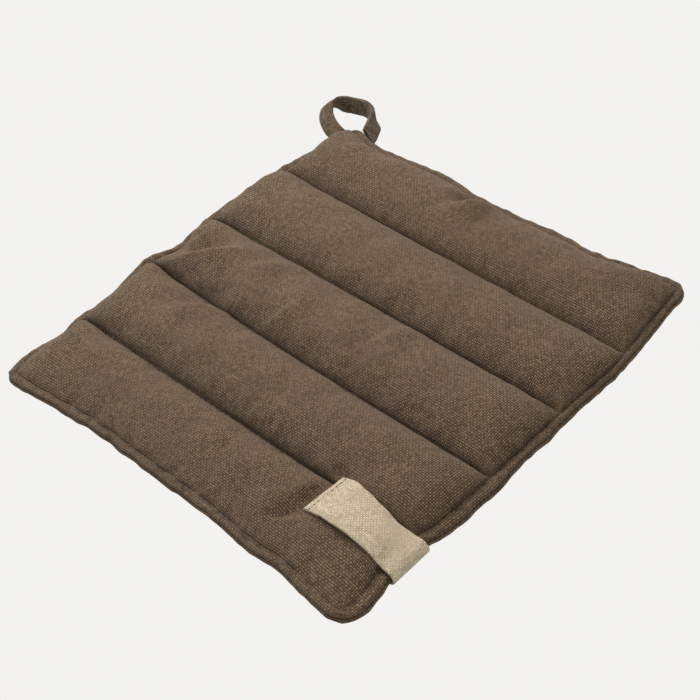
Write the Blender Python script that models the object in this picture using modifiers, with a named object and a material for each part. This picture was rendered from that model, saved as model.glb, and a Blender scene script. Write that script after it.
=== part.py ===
"""Quilted square pot holder of brown cloth, with a linen tab and a corner hanging loop.

It lies flat on z = 0. +X runs along its stitch lines, +Y across them and +Z up, and the origin is
the middle of its underside. Sizes are in millimetres, and MM turns them into the scene's metres.
"""

import math
from typing import NamedTuple

import bmesh
import bpy
from mathutils import Vector

MM = 0.001

# The pad: two panels sewn together at the edge, turned, filled and stitched into channels.
HALF_SIDE = 105.0  # half of the square, before its edges draw in or bulge
SEAM_HEIGHT = 5.3  # height of the edge seam and of the stitch lines above the table
SEWN_HALF = 1.1  # half thickness where the pad is sewn through
EDGE_HALF = 0.7  # half thickness at the outer edge
RIM_SHAPE = 2.2  # 2 is a round rim, higher is squarer
BELLY = 10.0  # how far the filling sags below the seam, before the table flattens it
EDGE_REACH = 26.0  # how far inward a bulge or a draw of the edge is felt

# Stations of the pad's mesh.
RIM_STEPS = (0.0, 0.12, 0.48, 1.0)
END_STEPS = (0.06, 0.18, 0.36, 0.62, 1.0)
CHANNEL_STEPS = (0.05, 0.15, 0.3, 0.5, 0.7, 0.85, 0.95)
ALONG_STEP = 8.6

# The linen tab: a tape folded over the +X edge, the same length above and below.
TAPE_THICKNESS = 1.0
TAPE_GAP = 0.5
WRAP_RADIUS = 3.2  # of the tape's middle, round the rim
WRAP_X = 105.2  # where the wrap begins
WRAP_Z = 5.3
WRAP_STEPS = 8
TAPE_STEP = 3.0
TAPE_ACROSS = 6
SIDE_PRESS = 1.5  # the tape presses the pad down this far past its own sides
END_PRESS = 7.5  # and this far past its sewn end
END_DIMPLE = 1.6  # how much deeper the pad is pulled in there
PRESS_FADE = 6.0
TABLE_LIFT_X = 96.0  # the lower leg lies on the table up to here

# The hanging loop: a folded tape of the pad's cloth, both ends sewn into the corner seam.
LOOP_WIDTH = 8.8
LOOP_THICKNESS = 2.2
LOOP_EDGE_RADIUS = 0.6
LOOP_STEPS = 60
LOOP_ACROSS = 2
TANGENT_STEP = 0.01  # of a row, to either side, over which the loop's direction is read
SEAM_GAP = 0.35
CUTTER_STATIONS = 11  # the cutter at the loop's corner covers this many of the pad's stations
CUTTER_HEIGHTS = (-4.0, 18.0)


class Shoulder(NamedTuple):
    """How the filling stands up beside a seam: how soon, and 2 for a round rise, more for a
    squarer one."""

    length: float
    shape: float


class StitchLine(NamedTuple):
    """One stitch line through the pad, by the places of its two ends and its middle, with the
    filling's rise in front of it and behind it."""

    name: str
    left_y: float
    middle_y: float
    right_y: float
    in_front: Shoulder
    behind: Shoulder


class EdgePoint(NamedTuple):
    """How far an edge reaches from the middle, at a place along it."""

    along: float
    reach: float


class Side(NamedTuple):
    """One side of the pad: its rolled rim, and how the filling stands up behind the rim."""

    rim_width: float  # from the outer edge to the edge stitch
    rim_half: float  # half thickness of the rolled rim
    fill: Shoulder


class Corner(NamedTuple):
    """A rounded corner, by the side it is on in X and in Y."""

    side_x: int
    side_y: int
    radius: float


class Fold(NamedTuple):
    """A soft ridge, or a trough where its height is negative, in one panel of the pad."""

    name: str
    x: float
    y: float
    heading: float
    length: float
    width: float
    height: float


class TabRow(NamedTuple):
    """A section across the upper leg of the tab: its two edges, for the tape's middle."""

    x: float
    near_y: float
    near_z: float
    far_y: float
    far_z: float


class LoopRow(NamedTuple):
    """A section of the hanging loop: its middle, and how far its top leans to the loop's centre."""

    x: float
    y: float
    z: float
    lean: float


STITCH_LINES = (
    StitchLine("front", -62.4, -62.4, -62.4, Shoulder(19.0, 2.6), Shoulder(20.0, 2.5)),
    StitchLine("front_middle", -20.0, -22.4, -22.7, Shoulder(20.0, 2.5), Shoulder(21.0, 2.1)),
    StitchLine("back_middle", 19.6, 20.1, 19.5, Shoulder(21.0, 2.5), Shoulder(24.0, 2.2)),
    StitchLine("back", 64.5, 62.0, 60.0, Shoulder(21.0, 2.4), Shoulder(38.0, 1.9)),
)
LEFT_SIDE = Side(rim_width=4.0, rim_half=1.7, fill=Shoulder(13.0, 2.0))
RIGHT_SIDE = Side(rim_width=3.7, rim_half=1.9, fill=Shoulder(16.0, 1.9))
FRONT_SIDE = Side(rim_width=3.8, rim_half=1.9, fill=Shoulder(32.0, 1.35))
BACK_SIDE = Side(rim_width=3.8, rim_half=1.7, fill=Shoulder(14.0, 2.0))
CREST_HEIGHTS = (14.8, 15.3, 15.5, 15.2, 16.2)  # of the five channels, front to back

LEFT_EDGE = (
    EdgePoint(-105, 104.6),
    EdgePoint(-96, 106.4),
    EdgePoint(-85, 106.2),
    EdgePoint(-74, 104.0),
    EdgePoint(-64, 106.0),
    EdgePoint(-48, 105.6),
    EdgePoint(-32, 106.8),
    EdgePoint(-20, 107.2),
    EdgePoint(-6, 104.6),
    EdgePoint(8, 107.8),
    EdgePoint(24, 109.4),
    EdgePoint(42, 108.8),
    EdgePoint(66, 107.0),
    EdgePoint(85, 104.0),
    EdgePoint(105, 102.4),
)
RIGHT_EDGE = (
    EdgePoint(-105, 107.8),
    EdgePoint(-94, 109.8),
    EdgePoint(-87, 109.0),
    EdgePoint(-81, 107.2),
    EdgePoint(-60, 107.2),
    EdgePoint(-54, 108.8),
    EdgePoint(-47, 109.8),
    EdgePoint(-30, 110.0),
    EdgePoint(-16, 109.8),
    EdgePoint(0, 109.0),
    EdgePoint(30, 108.6),
    EdgePoint(50, 109.2),
    EdgePoint(70, 107.0),
    EdgePoint(88, 104.6),
    EdgePoint(105, 102.6),
)
BACK_EDGE = (
    EdgePoint(-105, 108.2),
    EdgePoint(-94, 108.7),
    EdgePoint(-79, 105.0),
    EdgePoint(-68, 104.9),
    EdgePoint(-45, 106.4),
    EdgePoint(-27, 106.3),
    EdgePoint(-12, 103.7),
    EdgePoint(10, 103.2),
    EdgePoint(36, 104.3),
    EdgePoint(60, 103.1),
    EdgePoint(76, 105.7),
    EdgePoint(90, 107.9),
    EdgePoint(105, 107.3),
)
FRONT_EDGE = (
    EdgePoint(-105, 106.2),
    EdgePoint(-94, 106.6),
    EdgePoint(-78, 105.2),
    EdgePoint(-62, 103.6),
    EdgePoint(-40, 102.4),
    EdgePoint(-9, 102.6),
    EdgePoint(26, 102.6),
    EdgePoint(54, 104.2),
    EdgePoint(71, 103.7),
    EdgePoint(90, 106.2),
    EdgePoint(105, 107.4),
)
CORNERS = (
    Corner(-1, -1, 5.0),
    Corner(1, -1, 8.0),
    Corner(1, 1, 5.0),
    Corner(-1, 1, 11.0),
)

TOP_FOLDS = (
    Fold("diagonal_ridge", -84.0, -2.0, 42.6, 24.0, 4.5, 2.0),
    Fold("hollow_behind_ridge", -93.0, 9.0, 44.0, 18.0, 7.0, -7.5),
    Fold("short_ridge", -61.0, -31.0, 46.0, 13.0, 5.0, 1.4),
    Fold("hollow_by_short_ridge", -70.0, -28.0, 48.0, 13.0, 6.5, -2.0),
    Fold("back_edge_ridge", -9.0, 89.0, 45.0, 11.0, 4.5, 2.2),
    Fold("back_edge_hollow", -17.0, 95.0, 45.0, 9.0, 7.0, -5.0),
    Fold("back_channel_dip", 10.0, 84.0, 75.0, 12.0, 9.0, -1.2),
    Fold("front_dip", -45.0, -86.0, 70.0, 14.0, 8.0, -1.4),
    Fold("tab_end_dimple", 57.0, -82.0, 15.0, 9.0, 6.0, -3.0),
    Fold("right_end_dip", 92.0, 88.0, 60.0, 10.0, 7.0, -1.6),
)
EDGE_LIFTS = (Fold("lifted_left_edge", -110.0, -20.0, 90.0, 15.0, 16.0, 4.2),)

TAB_ROWS = (
    TabRow(62.5, -80.4, 12.9, -59.2, 11.2),
    TabRow(66.0, -80.4, 13.9, -58.8, 12.6),
    TabRow(71.0, -80.2, 15.0, -59.0, 13.9),
    TabRow(77.0, -80.2, 15.6, -59.8, 14.0),
    TabRow(84.0, -80.2, 15.5, -60.8, 13.3),
    TabRow(91.0, -80.2, 14.4, -61.8, 12.0),
    TabRow(97.0, -80.0, 12.2, -62.3, 10.5),
    TabRow(101.0, -80.2, 9.6, -61.8, 9.2),
    TabRow(WRAP_X, -80.6, WRAP_Z + WRAP_RADIUS, -61.2, WRAP_Z + WRAP_RADIUS),
)

LOOP_ROWS = (
    LoopRow(-95.0, 98.4, 5.3, 56.0),
    LoopRow(-102.2, 100.8, 5.4, 56.0),
    LoopRow(-109.4, 103.0, 5.8, 56.0),
    LoopRow(-117.2, 107.6, 6.6, 55.0),
    LoopRow(-122.2, 113.8, 7.2, 52.0),
    LoopRow(-122.5, 118.6, 6.2, 36.0),
    LoopRow(-119.2, 121.8, 4.9, -12.0),
    LoopRow(-113.2, 123.9, 4.7, -18.0),
    LoopRow(-105.8, 124.9, 4.9, -14.0),
    LoopRow(-99.1, 122.6, 5.0, -4.0),
    LoopRow(-93.8, 117.8, 5.2, 32.0),
    LoopRow(-90.2, 112.0, 5.2, 52.0),
    LoopRow(-86.9, 105.9, 5.4, 58.0),
    LoopRow(-84.2, 99.6, 5.4, 58.0),
)


def clamp(value):
    return min(max(value, 0.0), 1.0)


def smooth(value):
    """Eases from 0 to 1 with no corner at either end."""
    value = clamp(value)
    return value * value * (3.0 - 2.0 * value)


def superellipse(value, shape):
    """Height of a rounded bulge at value, from -1 to 1 across it, with its top, 1, in the middle."""
    return (1.0 - min(abs(value), 1.0) ** shape) ** (1.0 / shape)


def curve_through(keys, values, place):
    """A smooth curve through the table's values, read at a place between its keys."""
    place = min(max(place, keys[0]), keys[-1])
    last = len(keys) - 1
    index = next((i for i in range(last) if place <= keys[i + 1]), last - 1)
    span = keys[index + 1] - keys[index]
    part = (place - keys[index]) / span

    def slope(i):
        before, after = max(i - 1, 0), min(i + 1, last)
        return (values[after] - values[before]) / (keys[after] - keys[before]) * span

    rise = values[index + 1] - values[index]
    start, end = slope(index), slope(index + 1)
    bend = part * (part - 1.0) * ((part - 1.0) * (start - rise) + part * (end - rise))
    return values[index] + rise * part + bend


def edge_reach(points, along):
    return curve_through([p.along for p in points], [p.reach for p in points], along)


def corner_radius(x, y):
    return next(c.radius for c in CORNERS if c.side_x * x >= 0.0 and c.side_y * y >= 0.0)


def rounded_corner(x, y):
    """Moves a point of the plain square to its place in the one with rounded corners."""
    radius = corner_radius(x, y)
    start = HALF_SIDE - radius
    if abs(x) <= start or abs(y) <= start:
        return x, y
    along_x, along_y = (abs(x) - start) / radius, (abs(y) - start) / radius
    grown = max(along_x, along_y, 1.0)
    along_x, along_y = along_x / grown, along_y / grown
    round_x = grown * along_x * math.sqrt(1.0 - along_y * along_y / 2.0)
    round_y = grown * along_y * math.sqrt(1.0 - along_x * along_x / 2.0)
    return (
        math.copysign(start + radius * round_x, x),
        math.copysign(start + radius * round_y, y),
    )


def pad_plan(x, y):
    """Place in plan of a point of the plain square: its corners rounded, its edges in or out."""
    across_x = edge_reach(RIGHT_EDGE if x > 0.0 else LEFT_EDGE, y) - HALF_SIDE
    across_y = edge_reach(BACK_EDGE if y > 0.0 else FRONT_EDGE, x) - HALF_SIDE
    felt_x = smooth(1.0 - (HALF_SIDE - abs(x)) / EDGE_REACH)
    felt_y = smooth(1.0 - (HALF_SIDE - abs(y)) / EDGE_REACH)
    round_x, round_y = rounded_corner(x, y)
    return (
        round_x + math.copysign(felt_x, x) * across_x,
        round_y + math.copysign(felt_y, y) * across_y,
    )


def stitch_y(line, x):
    """Where a stitch line passes, at a place along the pad."""
    return curve_through((-HALF_SIDE, 0.0, HALF_SIDE), (line.left_y, line.middle_y, line.right_y), x)


def side_x(x):
    return RIGHT_SIDE if x > 0.0 else LEFT_SIDE


def side_y(y):
    return BACK_SIDE if y > 0.0 else FRONT_SIDE


def channel_bounds(x):
    """The six lines between which the five channels lie, front to back: edge stitches included."""
    inner = [stitch_y(line, x) for line in STITCH_LINES]
    return [-HALF_SIDE + FRONT_SIDE.rim_width, *inner, HALF_SIDE - BACK_SIDE.rim_width]


def filled_behind(shoulder, distance):
    """How full the pad is at a distance from a seam, from 0 to 1."""
    return superellipse(1.0 - clamp(distance / shoulder.length), shoulder.shape)


def channel_fullness(x, y):
    """How full the pad is at a point inside the edge stitch, from 0 to 1, and its channel's crest."""
    bounds = channel_bounds(x)
    last = len(STITCH_LINES)
    index = next((i for i in range(last) if y < bounds[i + 1]), last)
    near = FRONT_SIDE.fill if index == 0 else STITCH_LINES[index - 1].behind
    far = BACK_SIDE.fill if index == last else STITCH_LINES[index].in_front
    across = filled_behind(near, y - bounds[index]) * filled_behind(far, bounds[index + 1] - y)
    end = side_x(x)
    return across * filled_behind(end.fill, HALF_SIDE - end.rim_width - abs(x)), CREST_HEIGHTS[index]


def fold_height(fold, x, y):
    turn = math.radians(fold.heading)
    off_x, off_y = x - fold.x, y - fold.y
    along = (off_x * math.cos(turn) + off_y * math.sin(turn)) / fold.length
    across = (off_y * math.cos(turn) - off_x * math.sin(turn)) / fold.width
    return fold.height * math.exp(-along * along - across * across)


def rim_part(x, y):
    """How far in from the outer edge a point lies, where 1 is the edge stitch, and the rim's half
    thickness there: that of the nearer side, blended at the corners."""
    part_x = (HALF_SIDE - abs(x)) / side_x(x).rim_width
    part_y = (HALF_SIDE - abs(y)) / side_y(y).rim_width
    share = part_x / (part_x + part_y) if part_x + part_y > 0.0 else 0.5
    half = side_x(x).rim_half * (1.0 - share) + side_y(y).rim_half * share
    return min(part_x, part_y), half


def pad_heights(x, y):
    """Heights of the pad's underside and of its top, at a point of the plain square."""
    lift = sum(fold_height(fold, x, y) for fold in EDGE_LIFTS)
    part, rolled_half = rim_part(x, y)
    if part <= 1.0:
        flat = EDGE_HALF + (SEWN_HALF - EDGE_HALF) * part
        half = flat + (rolled_half - flat) * superellipse(2.0 * part - 1.0, RIM_SHAPE)
        return SEAM_HEIGHT - half + lift, SEAM_HEIGHT + half + lift
    fullness, crest = channel_fullness(x, y)
    sewn_top = SEAM_HEIGHT + SEWN_HALF
    folds = sum(fold_height(fold, x, y) for fold in TOP_FOLDS)
    top = sewn_top + (crest - sewn_top + folds) * fullness + lift * (1.0 - fullness)
    bottom = SEAM_HEIGHT - SEWN_HALF - BELLY * fullness + lift
    return max(bottom, 0.0), top


def tab_section(x):
    """The upper leg's section at x: the Y and Z of its near edge, then of its far edge."""
    keys = [row.x for row in TAB_ROWS]
    return [curve_through(keys, [row[i] for row in TAB_ROWS], x) for i in range(1, 5)]


def tab_lower_z(x):
    """Height of the middle of the tab's lower leg: on the table, then up to the wrap."""
    rise = smooth((x - TABLE_LIFT_X) / (WRAP_X - TABLE_LIFT_X))
    on_table = TAPE_THICKNESS / 2.0
    return on_table + (WRAP_Z - WRAP_RADIUS - on_table) * rise


def tab_pressure(x, y, near_y, far_y):
    """1 where the tab lies on the pad, fading to 0 around it."""
    past_end = TAB_ROWS[0].x - x - END_PRESS
    past_side = max(near_y - y, y - far_y) - SIDE_PRESS
    return smooth(1.0 - max(past_end, past_side) / PRESS_FADE)


def pressed_by_tab(x, y, bottom, top):
    """The pad's heights where the tab's two legs hold it in."""
    near_y, near_z, far_y, far_z = tab_section(x)
    pressure = tab_pressure(x, y, near_y, far_y)
    clearance = TAPE_THICKNESS / 2.0 + TAPE_GAP
    part = clamp((y - near_y) / (far_y - near_y))
    dimple = END_DIMPLE * smooth((TAB_ROWS[0].x - x) / END_PRESS) * (1.0 - part / 2.0)
    ceiling = near_z + (far_z - near_z) * part - clearance - dimple
    floor = tab_lower_z(x) + clearance
    top -= pressure * max(top - ceiling, 0.0)
    bottom += pressure * max(floor - bottom, 0.0)
    return bottom, top


def end_stations(side):
    """Distances in from the outer edge, through the rim and the filling behind it."""
    rim = [side.rim_width * step for step in RIM_STEPS]
    return rim + [side.rim_width + side.fill.length * step for step in END_STEPS]


def along_stations():
    """Stations along the pad's plain square, closest together at its two ends."""
    left = [-HALF_SIDE + inset for inset in end_stations(LEFT_SIDE)]
    right = [HALF_SIDE - inset for inset in reversed(end_stations(RIGHT_SIDE))]
    count = math.ceil((right[0] - left[-1]) / ALONG_STEP)
    middle = [left[-1] + (right[0] - left[-1]) * i / count for i in range(1, count)]
    return left + middle + right


def across_stations(x):
    """Stations across the pad at x, which follow the stitch lines."""
    bounds = channel_bounds(x)
    stations = [-HALF_SIDE + FRONT_SIDE.rim_width * step for step in RIM_STEPS[:-1]]
    for start, end in zip(bounds, bounds[1:]):
        stations += [start + (end - start) * step for step in (0.0, *CHANNEL_STEPS)]
    return stations + [HALF_SIDE - BACK_SIDE.rim_width * step for step in reversed(RIM_STEPS)]


def grid_mesh(columns, rows):
    """A grid of quads, with each vertex's column and row, counted from 0."""
    mesh = bmesh.new()
    bmesh.ops.create_grid(mesh, x_segments=columns - 1, y_segments=rows - 1, size=1.0)
    places = {
        vertex: (
            round((vertex.co.x + 1.0) / 2.0 * (columns - 1)),
            round((vertex.co.y + 1.0) / 2.0 * (rows - 1)),
        )
        for vertex in mesh.verts
    }
    return mesh, places


def thicken(mesh):
    """Closes a sheet into a solid: the new upper vertices, with the lower one each is above."""
    lower = list(mesh.verts)
    made = bmesh.ops.extrude_face_region(mesh, geom=mesh.faces[:], use_keep_orig=True)
    upper = [item for item in made["geom"] if isinstance(item, bmesh.types.BMVert)]
    by_place = {vertex.co.to_tuple(6): vertex for vertex in lower}
    return {vertex: by_place[vertex.co.to_tuple(6)] for vertex in upper}


def object_from(mesh, name, collection, material=None):
    """Makes an object of a bmesh laid out in millimetres, shaded smooth but for its sharp edges."""
    bmesh.ops.scale(mesh, vec=Vector((MM, MM, MM)), verts=mesh.verts)
    data = bpy.data.meshes.new(name)
    mesh.to_mesh(data)
    mesh.free()
    data.shade_smooth()
    data.set_sharp_from_angle(angle=math.radians(60.0))
    if material:
        data.materials.append(material)
    made = bpy.data.objects.new(name, data)
    collection.objects.link(made)
    return made


def cloth_material(name, colour, roughness):
    material = bpy.data.materials.new(name)
    material.use_nodes = True
    shader = material.node_tree.nodes["Principled BSDF"]
    shader.inputs["Base Color"].default_value = (*colour, 1.0)
    shader.inputs["Roughness"].default_value = roughness
    shader.inputs["Metallic"].default_value = 0.0
    material.diffuse_color = (*colour, 1.0)
    return material


def build_pad(collection, material):
    stations_x = along_stations()
    stations_y = [across_stations(x) for x in stations_x]
    mesh, places = grid_mesh(len(stations_x), len(stations_y[0]))
    above = thicken(mesh)
    for upper, lower in above.items():
        column, row = places[lower]
        x, y = stations_x[column], stations_y[column][row]
        plan_x, plan_y = pad_plan(x, y)
        bottom, top = pressed_by_tab(plan_x, plan_y, *pad_heights(x, y))
        lower.co = (plan_x, plan_y, bottom)
        upper.co = (plan_x, plan_y, top)
    bmesh.ops.recalc_face_normals(mesh, faces=mesh.faces)
    return object_from(mesh, "pad", collection, material)


def tab_stations():
    """Sections of the whole tab: its upper leg, the wrap round the rim and its lower leg."""
    start = TAB_ROWS[0].x
    count = math.ceil((WRAP_X - start) / TAPE_STEP)
    leg = [start + (WRAP_X - start) * i / count for i in range(count + 1)]
    sections = [(x, *tab_section(x)) for x in leg]
    _, near_y, _, far_y, _ = sections[-1]
    for step in range(1, WRAP_STEPS):
        angle = math.pi * step / WRAP_STEPS
        x = WRAP_X + WRAP_RADIUS * math.sin(angle)
        z = WRAP_Z + WRAP_RADIUS * math.cos(angle)
        sections.append((x, near_y, z, far_y, z))
    for x in reversed(leg):
        near_y, _, far_y, _ = tab_section(x)
        z = tab_lower_z(x)
        sections.append((x, near_y, z, far_y, z))
    return sections


def build_tab(collection, material):
    sections = tab_stations()
    mesh, places = grid_mesh(len(sections), TAPE_ACROSS + 1)
    for vertex, (column, row) in places.items():
        x, near_y, near_z, far_y, far_z = sections[column]
        part = row / TAPE_ACROSS
        y = near_y + (far_y - near_y) * part
        vertex.co = (x, y, near_z + (far_z - near_z) * part)
    bmesh.ops.recalc_face_normals(mesh, faces=mesh.faces)
    tab = object_from(mesh, "linen_tab", collection, material)
    wall = tab.modifiers.new("tape", "SOLIDIFY")
    wall.thickness = TAPE_THICKNESS * MM
    wall.offset = 0.0
    return tab


def loop_section(place):
    """The loop's middle, and the direction from its lower edge to its upper one, at a place from
    0 to 1 along the rows."""
    keys = list(range(len(LOOP_ROWS)))
    key = place * keys[-1]

    def middle(at):
        return Vector([curve_through(keys, [row[i] for row in LOOP_ROWS], at) for i in range(3)])

    lean = math.radians(curve_through(keys, [row.lean for row in LOOP_ROWS], key))
    tangent = middle(key + TANGENT_STEP) - middle(key - TANGENT_STEP)
    inward = Vector((tangent.y, -tangent.x, 0.0)).normalized()
    return middle(key), inward * math.sin(lean) + Vector((0.0, 0.0, 1.0)) * math.cos(lean)


def corner_cutter(collection):
    """A block over the pad's corner, grown by the seam's gap, that trims the ends of the loop."""
    outer = HALF_SIDE + SEAM_GAP
    stations_x = [-outer, *along_stations()[1:CUTTER_STATIONS]]
    mesh, places = grid_mesh(CUTTER_STATIONS, CUTTER_STATIONS)
    above = thicken(mesh)
    for upper, lower in above.items():
        column, row = places[lower]
        x = stations_x[column]
        y = outer if row == CUTTER_STATIONS - 1 else across_stations(x)[row - CUTTER_STATIONS]
        plan_x, plan_y = pad_plan(x, y)
        lower.co = (plan_x, plan_y, CUTTER_HEIGHTS[0])
        upper.co = (plan_x, plan_y, CUTTER_HEIGHTS[1])
    bmesh.ops.recalc_face_normals(mesh, faces=mesh.faces)
    cutter = object_from(mesh, "corner_cutter", collection)
    cutter.hide_render = True
    cutter.display_type = "WIRE"
    return cutter


def build_loop(collection, material, cutter):
    mesh, places = grid_mesh(LOOP_STEPS + 1, LOOP_ACROSS + 1)
    for vertex, (column, row) in places.items():
        middle, upward = loop_section(column / LOOP_STEPS)
        vertex.co = middle + upward * LOOP_WIDTH * (row / LOOP_ACROSS - 0.5)
    bmesh.ops.recalc_face_normals(mesh, faces=mesh.faces)
    loop = object_from(mesh, "hanging_loop", collection, material)
    wall = loop.modifiers.new("folded_tape", "SOLIDIFY")
    wall.thickness = LOOP_THICKNESS * MM
    wall.offset = 0.0
    edges = loop.modifiers.new("soft_edges", "BEVEL")
    edges.width = LOOP_EDGE_RADIUS * MM
    edges.segments = 2
    edges.limit_method = "ANGLE"
    edges.angle_limit = math.radians(50.0)
    trim = loop.modifiers.new("trim_at_seam", "BOOLEAN")
    trim.operation = "DIFFERENCE"
    trim.object = cutter
    return loop


def clear_scene():
    for item in list(bpy.data.objects):
        bpy.data.objects.remove(item, do_unlink=True)


def new_collection(name):
    collection = bpy.data.collections.new(name)
    bpy.context.scene.collection.children.link(collection)
    return collection


def main():
    clear_scene()
    parts = new_collection("pot_holder")
    cutters = new_collection("cutters")
    cutters.hide_render = True
    brown = cloth_material("brown_cloth", (0.156, 0.114, 0.076), 0.92)
    loop_brown = cloth_material("loop_cloth", (0.13, 0.094, 0.062), 0.92)
    linen = cloth_material("linen_tape", (0.57, 0.49, 0.34), 0.88)
    build_pad(parts, brown)
    build_tab(parts, linen)
    build_loop(parts, loop_brown, corner_cutter(cutters))


main()
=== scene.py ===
"""Looks of a square quilted pot holder of coarse brown cloth, dressed over its fixed frame.

The frame gives the pad, the linen tab and the hanging loop as plain solids. Here each of them is
made again on the same form with its rolled rim, seam, stitches, puckers and creases, and gets a
woven finish. Sizes are in millimetres, and MM turns them into the scene's metres.
"""

import logging
import math
from dataclasses import dataclass, field
from enum import Enum, IntEnum
from typing import NamedTuple, Sequence, Union

import bmesh
import bpy
import numpy as np
from mathutils import Matrix, Vector


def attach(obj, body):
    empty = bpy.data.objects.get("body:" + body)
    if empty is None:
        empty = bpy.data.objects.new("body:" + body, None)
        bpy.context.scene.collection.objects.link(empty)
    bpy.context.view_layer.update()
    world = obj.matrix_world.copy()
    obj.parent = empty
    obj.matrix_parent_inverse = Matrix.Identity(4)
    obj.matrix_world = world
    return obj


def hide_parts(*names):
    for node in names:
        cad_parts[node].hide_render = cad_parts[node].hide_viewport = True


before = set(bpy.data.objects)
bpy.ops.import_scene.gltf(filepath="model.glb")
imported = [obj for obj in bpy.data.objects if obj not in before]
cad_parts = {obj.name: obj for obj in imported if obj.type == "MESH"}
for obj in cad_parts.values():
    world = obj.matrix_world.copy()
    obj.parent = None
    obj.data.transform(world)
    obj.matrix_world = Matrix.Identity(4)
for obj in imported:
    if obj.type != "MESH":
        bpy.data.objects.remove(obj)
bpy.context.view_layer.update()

MM = 0.001
CM = 0.01
ROOT = "root"
SHARP_ANGLE = 70.0  # in degrees, past which an edge isn't shaded smooth
WAVE_PITCHES = (0.75, 1.35)  # shortest and longest wave of an uneven field, as shares of its length

Array = np.ndarray
Number = Union[float, Array]
Colour = tuple[float, float, float]

logging.basicConfig(level=logging.INFO, format="%(message)s")
log = logging.getLogger("pot_holder")


class Panel(Enum):
    """The two cloth panels of the pad; the value is the way each one faces."""

    TOP = 1
    UNDERSIDE = -1


class Seed(IntEnum):
    """The field of waves that each unevenness of the cloth takes."""

    SEAM_WANDER = 21
    RIM_PUCKER = 24
    EDGE_STRAY = 31
    EDGE_SHADE = 41
    GATHERS = 50
    TAPE_SIDES = 71
    TAPE_FACE = 72
    LOOP_TAPE = 81


class Shoulder(NamedTuple):
    """How the filling stands up beside a seam: how soon, and 2 for a round rise, more for a
    squarer one."""

    length: float
    shape: float


class StitchLine(NamedTuple):
    """One stitch line through the pad, by the places of its two ends and its middle, with the
    filling's rise in front of it and behind it, and how far the shade painted beside it reaches behind it."""

    name: str
    left_y: float
    middle_y: float
    right_y: float
    in_front: Shoulder
    behind: Shoulder
    shade: float


class EdgePoint(NamedTuple):
    """How far an edge reaches from the middle, at a place along it."""

    along: float
    reach: float


class Side(NamedTuple):
    """One side of the pad: its rolled rim, how the filling stands up behind the rim, how far
    the upper roll lies in from the lower one, and how dark the shade painted along its edge stitch is."""

    rim_width: float
    rim_half: float
    fill: Shoulder
    roll_step: float
    shade: float


class Corner(NamedTuple):
    """A rounded corner, by the side it is on in X and in Y."""

    side_x: int
    side_y: int
    radius: float


class Fold(NamedTuple):
    """A soft ridge, or a trough where its height is negative, in one panel of the pad.

    Its near side, on the right of its heading, is as many times wider as the skew says.
    """

    name: str
    x: float
    y: float
    heading: float
    length: float
    width: float
    height: float
    skew: float = 1.0


class TabRow(NamedTuple):
    """A section across the upper leg of the tab: its two edges, for the tape's middle."""

    x: float
    near_y: float
    near_z: float
    far_y: float
    far_z: float


class LoopRow(NamedTuple):
    """A section of the hanging loop: its middle, and how far its top leans to the loop's centre."""

    x: float
    y: float
    z: float
    lean: float


class Crease(NamedTuple):
    """A crease across the loop's tape: its place along the rows, half width and depth."""

    place: float
    width: float
    depth: float


class SeamPull(NamedTuple):
    """How a ring of points is pulled into the rim's seam: how far, and what is left of its height."""

    drawn: float
    pinch: float


class Lamp(NamedTuple):
    """A soft square light that faces the pot holder, with its place and size in metres."""

    name: str
    place: tuple[float, float, float]
    size: float
    power: float
    colour: Colour


def clamp(value: Number) -> Number:
    """Keeps a value between 0 and 1."""
    return np.clip(value, 0.0, 1.0)


def smooth(value: Number) -> Number:
    """Eases from 0 to 1 with no corner at either end."""
    value = clamp(value)
    return value * value * (3.0 - 2.0 * value)


def superellipse(value: Number, shape: Number) -> Number:
    """Height of a rounded bulge.

    Args:
        value: place across the bulge, from -1 to 1.
        shape: 2 for a round bulge, more for a squarer one.

    Returns:
        The height, 1 in the middle and 0 at both sides.
    """
    return (1.0 - np.minimum(np.abs(value), 1.0) ** shape) ** (1.0 / shape)


def curve_through(keys: Sequence[float], values: Sequence[float], place: Number) -> Number:
    """Reads a smooth curve that passes through a table.

    Args:
        keys: the table's places, rising.
        values: the value at each place.
        place: where to read the curve.

    Returns:
        The curve's value at each place.
    """
    keys, values = np.asarray(keys, float), np.asarray(values, float)
    last = len(keys) - 1
    order = np.arange(last + 1)
    before, after = np.maximum(order - 1, 0), np.minimum(order + 1, last)
    slopes = (values[after] - values[before]) / (keys[after] - keys[before])
    place = np.clip(place, keys[0], keys[-1])
    index = np.clip(np.searchsorted(keys, place) - 1, 0, last - 1)
    span = keys[index + 1] - keys[index]
    part = (place - keys[index]) / span
    rise = values[index + 1] - values[index]
    start, end = slopes[index] * span, slopes[index + 1] * span
    bend = part * (part - 1.0) * ((part - 1.0) * (start - rise) + part * (end - rise))
    return values[index] + rise * part + bend


def ripples(x: Number, y: Number, lengths: tuple[float, float], seed: int, waves: int = 28) -> Number:
    """An uneven field of soft waves, the same on every run.

    Args:
        x: place along the first direction.
        y: place along the second direction.
        lengths: typical wavelength along each direction.
        seed: picks one field among many.
        waves: number of waves that are added up.

    Returns:
        The field, about -1 to 1 over most of it.
    """
    draw = np.random.default_rng(seed)
    total = np.zeros(np.broadcast(x, y).shape)
    for _ in range(waves):
        angle, phase = draw.uniform(0.0, 2.0 * math.pi, 2)
        pitch = draw.uniform(*WAVE_PITCHES)
        turn = x * math.cos(angle) / lengths[0] + y * math.sin(angle) / lengths[1]
        total = total + np.cos(2.0 * math.pi * turn / pitch + phase)
    return total / math.sqrt(waves)


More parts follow.
